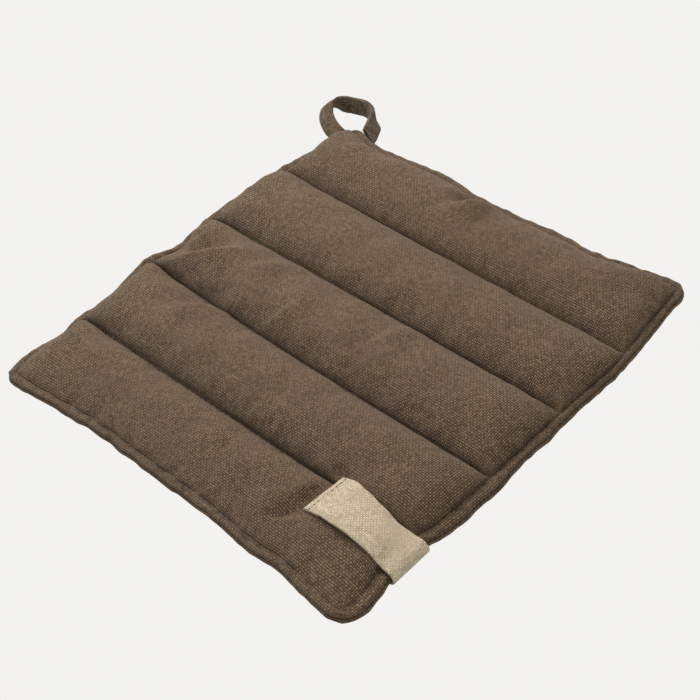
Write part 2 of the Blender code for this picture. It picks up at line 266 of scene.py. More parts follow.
class Gather(NamedTuple):
    """Small gathers beside a seam: their height, their pitch along the seam, their length away
    from it, and the distance at which they fade."""

    height: float
    pitch: float
    length: float
    reach: float

    def raised(self, along: Array, away: Array, distance: Array, seed: int) -> Array:
        """How far the gathers stand out.

        Args:
            along: places along the seam.
            away: places across the seam.
            distance: distance from the seam.
            seed: picks the field of waves.

        Returns:
            The height at each place.
        """
        waves = ripples(along, away, (self.pitch, self.length), seed)
        return self.height * (waves * np.exp(-((distance / self.reach) ** 2)))


@dataclass(frozen=True)
class TabForm:
    """The way the linen tape lies: over the top of the pad, round its rim and back below."""

    rows: tuple[TabRow, ...] = (
        TabRow(62.5, -80.4, 12.9, -59.2, 11.2),
        TabRow(66.0, -80.4, 13.9, -58.8, 12.6),
        TabRow(71.0, -80.2, 15.0, -59.0, 13.9),
        TabRow(77.0, -80.2, 15.6, -59.8, 14.0),
        TabRow(84.0, -80.2, 15.5, -60.8, 13.3),
        TabRow(91.0, -80.2, 14.4, -61.8, 12.0),
        TabRow(97.0, -80.0, 12.2, -62.3, 10.5),
        TabRow(101.0, -80.2, 9.6, -61.8, 9.2),
        TabRow(105.2, -80.6, 8.5, -61.2, 8.5),
    )
    thickness: float = 0.6
    table_lift_x: float = 96.0  # the lower leg lies on the table up to here
    wrap_radius: float = 3.2
    wrap_z: float = 5.3
    fold_under: float = 7.5  # length of tape turned under at each end
    layer_step: float = 0.68  # from one layer of a turned end to the next
    turned_fade: float = 1.6  # length over which the turned end's extra layer ends
    rest_gap: float = 0.16  # from the tape to the cloth that it lies on
    table_gap: float = 0.1  # from the lower leg to the table
    side_press: float = 0.8  # how far beside the tape the pad is still pressed down in full
    side_fade: float = 3.2
    end_press: float = 2.0  # and how far past its sewn end
    end_fade: float = 6.0
    end_dimple: float = 0.15  # how much lower the pad is past the sewn end than below it

    @property
    def start_x(self) -> float:
        """Where the tape's sewn end lies."""
        return self.rows[0].x

    @property
    def wrap_x(self) -> float:
        """Where the tape starts to turn round the rim."""
        return self.rows[-1].x

    def section(self, x: Number) -> list[Number]:
        """The upper leg's section at X: the Y and Z of its near edge, then of its far edge."""
        keys = [row.x for row in self.rows]
        return [curve_through(keys, [row[i] for row in self.rows], x) for i in range(1, 5)]

    def section_at(self, x: float) -> tuple[float, ...]:
        """The same section as plain numbers, for one station."""
        return tuple(float(value) for value in self.section(x))

    def lower_z(self, x: Number) -> Number:
        """Height of the middle of the lower leg's tape: on the table, then up to the wrap.

        Args:
            x: where to read it.

        Returns:
            The height there.
        """
        rise = smooth((x - self.table_lift_x) / (self.wrap_x - self.table_lift_x))
        on_table = self.thickness / 2.0 + self.table_gap + self.turned_end(x) * self.layer_step
        return on_table + (self.wrap_z - self.wrap_radius - on_table) * rise

    def turned_end(self, x: Number) -> Number:
        """1 over the end that is turned under, 0 along the single tape."""
        return 1.0 - smooth((x - self.start_x - self.fold_under) / self.turned_fade)

    def press(self, x: Array, y: Array, bottom: Array, top: Array) -> tuple[Array, Array, Array]:
        """Holds the pad in where the tape lies on it.

        Args:
            x: places in plan.
            y: places in plan.
            bottom: height of the pad's underside there.
            top: height of the pad's top there.

        Returns:
            The new heights of the underside and of the top, and how much each place is pressed.
        """
        near_y, near_z, far_y, far_z = self.section(x)
        past_end = (self.start_x - x - self.end_press) / self.end_fade
        past_side = (np.maximum(near_y - y, y - far_y) - self.side_press) / self.side_fade
        pressure = smooth(1.0 - np.maximum(past_end, past_side))
        part = clamp((y - near_y) / (far_y - near_y))
        clearance = self.thickness / 2.0 + self.rest_gap + self.turned_end(x) * self.layer_step
        sunk = self.end_dimple * smooth((self.start_x - x) / self.end_press) * (1.0 - part / 2.0)
        ceiling = near_z + (far_z - near_z) * part - clearance - sunk
        floor = self.lower_z(x) + self.thickness / 2.0 + self.rest_gap
        top = top - pressure * np.maximum(top - ceiling, 0.0)
        bottom = bottom + pressure * np.maximum(floor - bottom, 0.0)
        return bottom, top, pressure


@dataclass(frozen=True)
class PadForm:
    """The form of the filled pad, point by point of the plain square that it is sewn from."""

    tab: TabForm = TabForm()
    half_side: float = 105.0
    seam_height: float = 5.3
    sewn_half: float = 1.1  # half thickness where the pad is sewn through
    edge_half: float = 0.2  # half thickness at the seam
    seam_depth: float = 1.0  # how far the seam is drawn in between the two rolls of the rim
    lower_roll: float = 0.4  # how far the rim's lower roll stands out past the seam
    roll_peak: float = 0.325  # the greatest value of the curve of that roll
    seam_inset: float = 0.1  # how far the seam lies inside the outline of the solids
    groove_shade: float = 0.42  # how dark the painted shade is in a stitched groove
    groove_spread: float = 1.2  # how far the painted shade reaches in front of a stitch line
    edge_spread: float = 1.15  # how far the painted shade reaches behind the edge stitch
    edge_shade: float = 0.7  # share of a side's painted shade that shows along its edge stitch
    edge_shade_swing: float = 0.5  # how much that share comes and goes
    edge_shade_length: float = 9.0
    faint_corner: float = 25.0  # how far the edge stitch hardly shows round the front right corner
    faint_shade: float = 0.7  # how much of the share is taken off in that corner
    corner_half: float = 1.8  # half thickness at the edge stitch in that corner
    seam_spread: float = 1.5  # how far the painted shade reaches out of the seam, in degrees of the roll
    rim_shape: float = 2.2  # 2 for a round roll, more for a squarer one
    belly: float = 10.0  # how far the underside would sag if there were no table
    edge_reach: float = 26.0  # how far in from an edge its drawn in or out shape is felt
    stitch_half: float = 0.4  # half width of the flat floor of a stitched groove
    stitch_lines: tuple[StitchLine, ...] = (
        StitchLine("front", -62.4, -62.4, -62.4, Shoulder(19.0, 2.6), Shoulder(20.0, 2.5), 1.7),
        StitchLine("front_middle", -20.0, -22.4, -22.7, Shoulder(20.0, 2.5), Shoulder(21.0, 2.1), 1.8),
        StitchLine("back_middle", 19.6, 20.1, 19.5, Shoulder(21.0, 2.5), Shoulder(24.0, 2.2), 1.9),
        StitchLine("back", 64.5, 62.0, 60.0, Shoulder(21.0, 2.4), Shoulder(38.0, 1.9), 2.9),
    )
    left: Side = Side(4.0, 1.7, Shoulder(9.5, 2.3), 0.0, 0.25)
    right: Side = Side(3.7, 1.9, Shoulder(16.0, 1.9), 0.9, 0.8)
    front: Side = Side(3.8, 1.9, Shoulder(32.0, 1.35), 0.6, 0.8)
    back: Side = Side(3.8, 1.7, Shoulder(14.0, 2.0), 0.0, 0.25)
    right_drift: tuple[EdgePoint, ...] = (
        EdgePoint(-105, -1.2),
        EdgePoint(-40, -1.2),
        EdgePoint(0, 0.1),
        EdgePoint(40, 1.1),
        EdgePoint(80, 0.8),
        EdgePoint(105, 0.2),
    )
    drift_fade: float = 22.0  # how far behind the right rim its drift along X fades
    crest_heights: tuple[float, ...] = (14.8, 15.3, 15.5, 15.2, 16.2)
    left_edge: tuple[EdgePoint, ...] = (
        EdgePoint(-105, 104.6),
        EdgePoint(-96, 106.4),
        EdgePoint(-85, 106.2),
        EdgePoint(-74, 104.0),
        EdgePoint(-64, 106.0),
        EdgePoint(-48, 105.6),
        EdgePoint(-32, 106.8),
        EdgePoint(-20, 107.2),
        EdgePoint(-6, 104.6),
        EdgePoint(8, 107.8),
        EdgePoint(24, 109.4),
        EdgePoint(42, 108.8),
        EdgePoint(66, 107.0),
        EdgePoint(85, 104.0),
        EdgePoint(105, 102.4),
    )
    right_edge: tuple[EdgePoint, ...] = (
        EdgePoint(-105, 107.8),
        EdgePoint(-94, 109.8),
        EdgePoint(-87, 109.0),
        EdgePoint(-81, 107.2),
        EdgePoint(-60, 107.2),
        EdgePoint(-54, 108.8),
        EdgePoint(-47, 109.8),
        EdgePoint(-30, 110.0),
        EdgePoint(-16, 109.8),
        EdgePoint(0, 109.0),
        EdgePoint(30, 108.6),
        EdgePoint(50, 109.2),
        EdgePoint(70, 107.0),
        EdgePoint(88, 104.6),
        EdgePoint(105, 102.6),
    )
    back_edge: tuple[EdgePoint, ...] = (
        EdgePoint(-105, 108.2),
        EdgePoint(-94, 108.7),
        EdgePoint(-79, 105.0),
        EdgePoint(-68, 104.9),
        EdgePoint(-45, 106.4),
        EdgePoint(-27, 106.3),
        EdgePoint(-12, 103.7),
        EdgePoint(10, 103.2),
        EdgePoint(36, 104.3),
        EdgePoint(60, 103.1),
        EdgePoint(76, 105.7),
        EdgePoint(90, 107.9),
        EdgePoint(105, 107.3),
    )
    front_edge: tuple[EdgePoint, ...] = (
        EdgePoint(-105, 106.2),
        EdgePoint(-94, 106.6),
        EdgePoint(-78, 105.2),
        EdgePoint(-62, 103.6),
        EdgePoint(-40, 102.4),
        EdgePoint(-9, 102.6),
        EdgePoint(26, 102.6),
        EdgePoint(54, 104.2),
        EdgePoint(71, 103.7),
        EdgePoint(90, 106.2),
        EdgePoint(105, 107.4),
    )
    corners: tuple[Corner, ...] = (
        Corner(-1, -1, 5.0),
        Corner(1, -1, 8.0),
        Corner(1, 1, 5.0),
        Corner(-1, 1, 11.0),
    )
    folds: tuple[Fold, ...] = (
        Fold("diagonal_ridge", -83.0, -9.0, 42.6, 24.0, 2.1, 3.4, 2.6),
        Fold("hollow_behind_ridge", -88.0, -2.0, 43.0, 18.0, 12.0, -6.6, 0.3),
        Fold("soft_step", -48.0, 7.0, 46.0, 10.0, 2.6, 1.8, 2.4),
        Fold("hollow_by_soft_step", -60.0, 8.0, 46.0, 10.0, 5.0, -1.2),
        Fold("short_ridge", -55.5, -31.0, 45.0, 12.0, 2.6, 2.8, 3.0),
        Fold("hollow_by_short_ridge", -64.0, -26.0, 48.0, 13.0, 6.0, -2.4, 0.7),
        Fold("back_edge_ridge", -1.0, 91.0, 42.0, 12.0, 2.2, 4.4, 3.0),
        Fold("back_edge_hollow", -7.0, 95.5, 42.0, 10.0, 5.0, -6.0, 0.7),
        Fold("loop_corner_ridge", -77.0, 91.0, 40.0, 9.0, 2.6, 1.4),
        Fold("back_channel_dip", 10.0, 84.0, 75.0, 12.0, 9.0, -1.2),
        Fold("front_dip", -45.0, -86.0, 70.0, 14.0, 8.0, -1.4),
        Fold("tab_end_crease", 56.5, -85.5, 48.0, 7.0, 1.5, -2.6, 1.6),
        Fold("swell_by_tab", 50.0, -81.5, 45.0, 9.0, 4.5, 1.2),
        Fold("valley_by_tab", 42.0, -90.0, -35.0, 13.0, 3.6, -1.8),
        Fold("cross_wrinkle", 27.0, 7.0, 75.0, 9.0, 2.8, 1.3, 2.2),
        Fold("left_cross_wrinkle", -21.0, -10.0, 70.0, 8.0, 2.8, 1.2, 2.2),
        Fold("right_end_dip", 92.0, 88.0, 60.0, 10.0, 7.0, -1.6),
    )
    edge_lifts: tuple[Fold, ...] = (
        Fold("lifted_left_edge", -110.0, -20.0, 90.0, 15.0, 16.0, 4.2),
    )
    seam_wander: float = 0.35  # how far the seam strays up and down
    seam_wander_length: float = 26.0
    edge_stray: float = 0.28  # how far the outline strays in and out
    edge_stray_length: float = 11.0
    rim_pucker: float = 0.16  # share by which the roll swells and pinches between stitches
    rim_pucker_length: float = 6.0
    edge_gather: Gather = Gather(0.34, 6.5, 40.0, 9.0)  # behind the edge stitch
    groove_gather: Gather = Gather(0.22, 8.5, 60.0, 7.0)  # beside a stitch line
    widest_rim: float = 8.0  # wider than any rim, and so tells which side a place lies behind
    lump_height: float = 0.42  # how far the filling shows through as soft lumps
    lump_lengths: tuple[float, float] = (21.0, 30.0)
    outline_steps: int = 400  # places along each side of the outline

    def reach(self, points: Sequence[EdgePoint], along: Array) -> Array:
        """How far an edge reaches from the middle, at places along it."""
        return curve_through([p.along for p in points], [p.reach for p in points], along)

    def rounded(self, x: Array, y: Array) -> tuple[Array, Array]:
        """Moves points of the plain square to their places in the one with rounded corners.

        Args:
            x: places in the plain square.
            y: places in the plain square.

        Returns:
            Their X and Y in the rounded square.
        """
        radius = np.zeros(x.shape)
        for corner in self.corners:
            mine = (x * corner.side_x >= 0.0) & (y * corner.side_y >= 0.0)
            radius = np.where(mine, corner.radius, radius)
        start = self.half_side - radius
        inside = (np.abs(x) <= start) | (np.abs(y) <= start)
        along_x = np.maximum((np.abs(x) - start) / radius, 0.0)
        along_y = np.maximum((np.abs(y) - start) / radius, 0.0)
        grown = np.maximum(np.maximum(along_x, along_y), 1.0)
        along_x, along_y = along_x / grown, along_y / grown
        round_x = start + radius * grown * along_x * np.sqrt(1.0 - along_y * along_y / 2.0)
        round_y = start + radius * grown * along_y * np.sqrt(1.0 - along_x * along_x / 2.0)
        return (
            np.where(inside, x, np.copysign(round_x, x)),
            np.where(inside, y, np.copysign(round_y, y)),
        )

    def plan(self, x: Array, y: Array) -> tuple[Array, Array]:
        """Lays points of the plain square out in plan: corners rounded, edges in or out.

        Args:
            x: places in the plain square.
            y: places in the plain square.

        Returns:
            Their X and Y in plan.
        """
        reach_x = np.where(x > 0.0, self.reach(self.right_edge, y), self.reach(self.left_edge, y))
        reach_y = np.where(y > 0.0, self.reach(self.back_edge, x), self.reach(self.front_edge, x))
        felt_x = smooth(1.0 - (self.half_side - np.abs(x)) / self.edge_reach)
        felt_y = smooth(1.0 - (self.half_side - np.abs(y)) / self.edge_reach)
        lengths = (self.edge_stray_length, self.edge_stray_length)
        stray = self.edge_stray * ripples(x, y, lengths, Seed.EDGE_STRAY) - self.seam_inset
        across_x = (reach_x - self.half_side) * felt_x + stray * felt_x**4
        across_y = (reach_y - self.half_side) * felt_y + stray * felt_y**4
        inset = self.half_side - x
        drawn = np.where(
            inset < self.right.rim_width,
            inset / self.right.rim_width,
            1.0 - smooth((inset - self.right.rim_width) / self.drift_fade),
        )
        across_x = across_x + self.reach(self.right_drift, y) * np.where(x > 0.0, drawn, 0.0)
        round_x, round_y = self.rounded(x, y)
        return (
            round_x + np.where(x > 0.0, across_x, -across_x),
            round_y + np.where(y > 0.0, across_y, -across_y),
        )

    def outline(self) -> Array:
        """Walks round the pad's edge.

        Returns:
            Places in plan, once round from the front left corner.
        """
        along = np.linspace(-self.half_side, self.half_side, self.outline_steps)
        edge = np.full(along.shape, self.half_side)
        x = np.concatenate([along, edge, along[::-1], -edge])
        y = np.concatenate([-edge, along, edge, along[::-1]])
        return np.stack(self.plan(x, y), -1)

    def clear_of(self, places: Array) -> Array:
        """Measures how far places lie outside the pad's edge in plan.

        Args:
            places: the places, in two or three dimensions.

        Returns:
            Their distances from the edge, with a minus sign inside it.
        """
        outline = self.outline()
        offsets = places[..., None, :2] - outline
        nearest = np.linalg.norm(offsets, axis=-1).min(axis=-1)
        turns = np.arctan2(outline[:, 1], outline[:, 0])
        order = np.argsort(turns)
        reach = np.linalg.norm(outline, axis=1)[order]
        turn = np.arctan2(places[..., 1], places[..., 0])
        edge = np.interp(turn, turns[order], reach)
        return np.where(np.linalg.norm(places[..., :2], axis=-1) > edge, nearest, -nearest)

    def bounds(self, x: Array) -> Array:
        """Finds the six lines between which the channels lie.

        Args:
            x: places in the plain square.

        Returns:
            The Y of each line at those places, front to back, edge stitches included.
        """
        keys = (-self.half_side, 0.0, self.half_side)
        inner = [
            curve_through(keys, (line.left_y, line.middle_y, line.right_y), x)
            for line in self.stitch_lines
        ]
        front = np.full(x.shape, -self.half_side + self.front.rim_width)
        back = np.full(x.shape, self.half_side - self.back.rim_width)
        return np.stack([front, *inner, back])

    def filled(self, shoulder: Shoulder, distance: Array) -> Array:
        """How full the pad is at a distance from a seam, from 0 to 1."""
        beyond = clamp((distance - self.stitch_half) / shoulder.length)
        return superellipse(1.0 - beyond, shoulder.shape)

    def fullness(self, x: Array, y: Array) -> tuple[Array, Array, Array]:
        """How full the pad is inside its edge stitch.

        Args:
            x: places in the plain square.
            y: places in the plain square.

        Returns:
            The fullness from 0 to 1, the crest height of the channel, and the distance to the
            nearest stitch line.
        """
        bounds = self.bounds(x)
        index = (y[None] >= bounds[1:-1]).sum(axis=0)
        near = [self.front.fill, *[line.behind for line in self.stitch_lines]]
        far = [*[line.in_front for line in self.stitch_lines], self.back.fill]
        full = np.zeros(x.shape)
        for channel, (low, high) in enumerate(zip(bounds, bounds[1:])):
            across = self.filled(near[channel], y - low) * self.filled(far[channel], high - y)
            full = np.where(index == channel, across, full)
        ends = np.where(
            x > 0.0,
            self.filled(self.right.fill, self.half_side - self.right.rim_width - x),
            self.filled(self.left.fill, self.half_side - self.left.rim_width + x),
        )
        crest = np.asarray(self.crest_heights)[index]
        return full * ends, crest, np.abs(y[None] - bounds).min(axis=0)

    def folded(self, folds: Sequence[Fold], x: Array, y: Array) -> Array:
        """Adds up the folds.

        Args:
            folds: the folds to add.
            x: places in the plain square.
            y: places in the plain square.

        Returns:
            The height that they add at each place.
        """
        total = np.zeros(x.shape)
        for fold in folds:
            turn = math.radians(fold.heading)
            off_x, off_y = x - fold.x, y - fold.y
            along = (off_x * math.cos(turn) + off_y * math.sin(turn)) / fold.length
            across = (off_y * math.cos(turn) - off_x * math.sin(turn)) / fold.width
            across = np.where(across < 0.0, across / fold.skew, across)
            total += fold.height * np.exp(-along * along - across * across)
        return total

    def rim(self, x: Array, y: Array) -> tuple[Array, Array, Array]:
        """Finds places' way through the rolled rim.

        Args:
            x: places in the plain square.
            y: places in the plain square.

        Returns:
            How far in from the outer edge they lie, where 1 is the edge stitch, the rim's half
            thickness there, and the distance behind the edge stitch.
        """
        side_x = np.where(x > 0.0, self.right.rim_width, self.left.rim_width)
        side_y = np.where(y > 0.0, self.back.rim_width, self.front.rim_width)
        in_x, in_y = self.half_side - np.abs(x), self.half_side - np.abs(y)
        half = self.eased(x, y, [side.rim_half for side in self.sides])
        return np.minimum(in_x / side_x, in_y / side_y), half, np.minimum(in_x - side_x, in_y - side_y)

    @property
    def sides(self) -> tuple[Side, Side, Side, Side]:
        """The four sides: left, right, front and back."""
        return self.left, self.right, self.front, self.back

    def eased(self, x: Array, y: Array, values: Sequence[float]) -> Array:
        """Reads a value that each of the four sides has its own of, eased round the corners.

        Args:
            x: places in the plain square.
            y: places in the plain square.
            values: the value of the left, right, front and back side.

        Returns:
            The value at each place.
        """
        left, right, front, back = self.sides
        in_x = (self.half_side - np.abs(x)) / np.where(x > 0.0, right.rim_width, left.rim_width)
        in_y = (self.half_side - np.abs(y)) / np.where(y > 0.0, back.rim_width, front.rim_width)
        share = in_x / np.maximum(in_x + in_y, 1e-9)
        value_x, value_y = np.where(x > 0.0, values[1], values[0]), np.where(y > 0.0, values[3], values[2])
        return value_x * (1.0 - share) + value_y * share

    def outward(self, x: Array, y: Array) -> Array:
        """Finds the level direction out of the rim.

        Args:
            x: places in the plain square.
            y: places in the plain square.

        Returns:
            The direction, one unit long on the rim and nothing inside it.
        """
        side_x = np.where(x > 0.0, self.right.rim_width, self.left.rim_width)
        side_y = np.where(y > 0.0, self.back.rim_width, self.front.rim_width)
        near_x = clamp(1.0 - (self.half_side - np.abs(x)) / side_x) * np.sign(x)
        near_y = clamp(1.0 - (self.half_side - np.abs(y)) / side_y) * np.sign(y)
        both = np.stack([near_x, near_y], -1)
        return both / np.maximum(np.linalg.norm(both, axis=-1, keepdims=True), 1e-6)

    def puckers(self, x: Array, y: Array, panel: Panel, behind: Array, beside: Array) -> Array:
        """Gathers and lumps of one panel, to be scaled by the fullness.

        Args:
            x: places in the plain square.
            y: places in the plain square.
            panel: the panel that is gathered.
            behind: distance behind the edge stitch.
            beside: distance from the nearest stitch line.

        Returns:
            How far out each place stands.
        """
        seed = Seed.GATHERS + panel.value
        behind_x_side = self.half_side - np.abs(x) - behind < self.widest_rim
        along, away = np.where(behind_x_side, y, x), np.where(behind_x_side, x, y)
        edge = self.edge_gather.raised(along, away, behind, seed)
        groove = self.groove_gather.raised(x, y, beside, seed + 3)
        return edge + groove + self.lump_height * ripples(x, y, self.lump_lengths, seed + 6)

    def heights(self, x: Array, y: Array) -> tuple[Array, Array]:
        """Heights of the pad's underside and top.

        Args:
            x: places in the plain square.
            y: places in the plain square.

        Returns:
            The height of the underside and of the top at each place, before the tab presses them.
        """
        lift = self.folded(self.edge_lifts, x, y)
        part, rolled_half, behind = self.rim(x, y)
        inside = clamp(part)
        sewn_half = self.sewn_half + (self.corner_half - self.sewn_half) * self.at_faint_corner(x, y)
        flat = self.edge_half + (sewn_half - self.edge_half) * inside
        roll = superellipse(2.0 * inside - 1.0, self.rim_shape)
        lengths = (self.seam_wander_length, self.seam_wander_length)
        wander = self.seam_wander * ripples(x, y, lengths, Seed.SEAM_WANDER) * (1.0 - inside) + lift
        lengths = (self.rim_pucker_length, self.rim_pucker_length)
        halves = {}
        for panel in Panel:
            swell = 1.0 + self.rim_pucker * ripples(x, y, lengths, Seed.RIM_PUCKER + panel.value)
            halves[panel] = flat + (rolled_half * swell - flat) * roll
        full, crest, beside = self.fullness(x, y)
        sewn_top = self.seam_height + sewn_half
        gathers = {panel: self.puckers(x, y, panel, behind, beside) for panel in Panel}
        raised = crest - sewn_top + self.folded(self.folds, x, y)
        top = sewn_top + raised * full + gathers[Panel.TOP] * np.sqrt(full) + lift * (1.0 - full)
        sagged = self.belly * full + gathers[Panel.UNDERSIDE] * np.sqrt(full)
        bottom = np.maximum(self.seam_height - sewn_half - sagged + lift, 0.0)
        on_rim = part <= 1.0
        return (
            np.where(on_rim, self.seam_height - halves[Panel.UNDERSIDE] + wander, bottom),
            np.where(on_rim, self.seam_height + halves[Panel.TOP] + wander, top),
        )

    def surfaces(self, x: Array, y: Array) -> tuple[Array, Array]:
        """The two panels as laid out on the table.

        Args:
            x: places in the plain square, as a grid.
            y: places in the plain square, as a grid.

        Returns:
            The places of the underside and of the top, in three dimensions.
        """
        bottom, top = self.heights(x, y)
        plan_x, plan_y = self.plan(x, y)
        bottom, top, _ = self.tab.press(plan_x, plan_y, bottom, top)
        lower, upper = np.stack([plan_x, plan_y, bottom], -1), np.stack([plan_x, plan_y, top], -1)
        inside = clamp(self.rim(x, y)[0])
        past_seam = np.sqrt(inside * (1.0 - inside)) * (1.0 - inside) / self.roll_peak
        outward = self.outward(x, y)
        lower[..., :2] += outward * (self.lower_roll * past_seam)[..., None]
        step_x = np.where(x > 0.0, self.right.roll_step, self.left.roll_step)
        step_y = np.where(y > 0.0, self.back.roll_step, self.front.roll_step)
        step = np.stack([step_x, step_y], -1) * (1.0 - inside)[..., None] ** 2
        upper[..., :2] -= outward * step
        return lower, upper

    def at_faint_corner(self, x: Array, y: Array) -> Array:
        """1 at the front right corner, where the edge stitch hardly shows, and 0 far from it."""
        off = np.hypot(x - self.half_side, y + self.half_side) / self.faint_corner
        return np.exp(-off * off)

    def painted_shade_shares(self, x: Array, y: Array) -> Array:
        """Finds how much shade is painted on places by how deep they lie in a stitched groove or in the
        edge seam.

        Args:
            x: places in the plain square.
            y: places in the plain square.

        Returns:
            The share of painted shade at each place, from 0 to 1.
        """
        part, _, behind = self.rim(x, y)
        # painted shade: the cloth is darkened beside the stitch lines, along the edge stitch and in the
        # seam
        quilted = np.zeros(x.shape)
        for line, bound in zip(self.stitch_lines, self.bounds(x)[1:-1]):
            reach = np.where(y > bound, line.shade, self.groove_spread)
            quilted = np.maximum(quilted, self.groove_shade * np.exp(-(((y - bound) / reach) ** 2)))
        lengths = (self.edge_shade_length, self.edge_shade_length)
        swing = self.edge_shade_swing * ripples(x, y, lengths, Seed.EDGE_SHADE)
        share = self.edge_shade + swing - self.faint_shade * self.at_faint_corner(x, y)
        stitched = clamp(share) * self.eased(x, y, [side.shade for side in self.sides])
        stitched = stitched * np.exp(-((behind / self.edge_spread) ** 2))
        groove = np.where(part > 1.0, np.maximum(quilted, stitched), stitched)
        turn = np.degrees(np.arccos(1.0 - 2.0 * clamp(part)))
        seam = np.exp(-((turn / self.seam_spread) ** 2))
        return np.maximum(groove, seam)


def mesh_data(mesh: bmesh.types.BMesh, name: str) -> bpy.types.Mesh:
    """Turns a bmesh into the mesh of an object, and frees it.

    Args:
        mesh: the bmesh.
        name: the mesh's name.

    Returns:
        The object's mesh.
    """
    data = bpy.data.meshes.new(name)
    mesh.to_mesh(data)
    mesh.free()
    return data


def coordinates(data: bpy.types.Mesh) -> Array:
    """Reads the places of a mesh's points.

    Args:
        data: the mesh.

    Returns:
        The place of each point, in the mesh's own units.
    """
    flat = np.zeros(len(data.vertices) * 3, np.float32)
    data.vertices.foreach_get("co", flat)
    return flat.reshape(-1, 3)


@dataclass(frozen=True)
class GridShell:
    """A closed sheet of quads: an upper and a lower grid joined by a narrow wall."""

    columns: int
    rows: int

    def build(self) -> bmesh.types.BMesh:
        """Makes the flat shell.

        Returns:
            The shell, one unit high, with its corners at -1 and 1.
        """
        mesh = bmesh.new()
        segments = {"x_segments": self.columns - 1, "y_segments": self.rows - 1}
        bmesh.ops.create_grid(mesh, size=1.0, **segments)
        made = bmesh.ops.extrude_face_region(mesh, geom=mesh.faces[:], use_keep_orig=True)
        raised = [item for item in made["geom"] if isinstance(item, bmesh.types.BMVert)]
        bmesh.ops.translate(mesh, verts=raised, vec=(0.0, 0.0, 1.0))
        bmesh.ops.recalc_face_normals(mesh, faces=mesh.faces)
        return mesh

    def lay(self, data: bpy.types.Mesh, lower: Array, upper: Array) -> tuple[Array, Array, Array]:
        """Moves the shell's points onto two surfaces.

        Args:
            data: the mesh of the flat shell.
            lower: places of the lower grid, by column and row.
            upper: places of the upper grid, by column and row.

        Returns:
            Each point's column and row, and whether it is an upper one.
        """
        flat = coordinates(data)
        column = np.rint((flat[:, 0] + 1.0) / 2.0 * (self.columns - 1)).astype(int)
        row = np.rint((flat[:, 1] + 1.0) / 2.0 * (self.rows - 1)).astype(int)
        above = flat[:, 2] > 0.5
        laid = np.where(above[:, None], upper[column, row], lower[column, row]) * MM
        data.vertices.foreach_set("co", laid.astype(np.float32).ravel())
        data.update()
        return column, row, above


@dataclass(frozen=True)
class ClothGrid:
    """A grid over the plain square of the pad, whose rows follow the stitch lines.

    The stations are read at the middle of the square, so that fields on two grids can be
    carried from one to the other.
    """

    columns: Array
    rows: Array
    x: Array
    y: Array

    def carry(self, values: Array, other: "ClothGrid") -> Array:
        """Reads a field of this grid at the points of another one.

        Args:
            values: the field, by column, row and part of the vector.
            other: the grid to read it on.

        Returns:
            The field on the other grid.
        """
        for axis, (own, wanted) in enumerate(((self.columns, other.columns), (self.rows, other.rows))):
            after = np.clip(np.searchsorted(own, wanted), 1, len(own) - 1)
            share = clamp((wanted - own[after - 1]) / (own[after] - own[after - 1]))
            share = share.reshape([-1 if i == axis else 1 for i in range(values.ndim)])
            low, high = (np.take(values, index, axis=axis) for index in (after - 1, after))
            values = low + (high - low) * share
        return values


@dataclass(frozen=True)
class Filling:
    """A short cloth simulation in which the filling swells the top between its stitches."""

    scale: float = 10.0  # the simulated pad is this many times as large, to suit the solver
    frames: int = 20
    pressure: float = 4.0
    surplus: float = 0.008  # share by which the cloth is larger than its laid out form
    vertex_mass: float = 0.04
    stiffness: float = 12.0
    bending: float = 0.6
    quality: int = 6
    air_damping: float = 1.0
    cap: float = 1.5  # the furthest that a point may move

    def swell(self, lower: Array, upper: Array, held: Array) -> Array:
        """Runs the simulation on a copy of the pad.

        Args:
            lower: places of the underside, which stays on the table.
            upper: places of the top.
            held: 1 where the top is sewn or pressed and 0 where it is free.

        Returns:
            How far each point of the top moves.
        """
        shell = GridShell(*held.shape)
        data = mesh_data(shell.build(), "swelling_pad")
        column, row, above = shell.lay(data, lower * self.scale, upper * self.scale)
        cloth = bpy.data.objects.new("swelling_pad", data)
        bpy.context.scene.collection.objects.link(cloth)
        group = cloth.vertex_groups.new(name="held")
        weights = np.where(above, held[column, row], 1.0)
        for index in range(len(weights)):
            group.add([index], float(weights[index]), "REPLACE")
        modifier = self.modifier(cloth, group.name)
        scene = bpy.context.scene
        for number in range(1, self.frames + 1):
            scene.frame_set(number)
        settled = cloth.evaluated_get(bpy.context.evaluated_depsgraph_get())
        places = coordinates(settled.data)
        moved = np.zeros(upper.shape)
        moved[column[above], row[above]] = (places / (self.scale * MM))[above]
        cloth.modifiers.remove(modifier)
        bpy.data.objects.remove(cloth)
        scene.frame_set(1)
        moved -= upper
        far = np.maximum(np.linalg.norm(moved, axis=-1, keepdims=True), 1e-9)
        return moved / far * (self.cap * np.tanh(far / self.cap))

    def modifier(self, cloth: bpy.types.Object, held: str) -> bpy.types.Modifier:
        """Adds the Cloth modifier with the filling's pressure and no gravity.

        Args:
            cloth: the simulated pad.
            held: the vertex group of the points that are held in place.

        Returns:
            The modifier.
        """
        made = cloth.modifiers.new("cloth", "CLOTH")
        settings = made.settings
        settings.quality = self.quality
        settings.mass = self.vertex_mass
        settings.air_damping = self.air_damping
        settings.tension_stiffness = self.stiffness
        settings.compression_stiffness = self.stiffness
        settings.shear_stiffness = self.stiffness / 2.0
        settings.bending_stiffness = self.bending
        settings.shrink_min = -self.surplus
        settings.vertex_group_mass = held
        settings.pin_stiffness = 1.0
        settings.use_pressure = True
        settings.uniform_pressure_force = self.pressure
        settings.effector_weights.gravity = 0.0
        made.point_cache.frame_start = 1
        made.point_cache.frame_end = self.frames
        return made


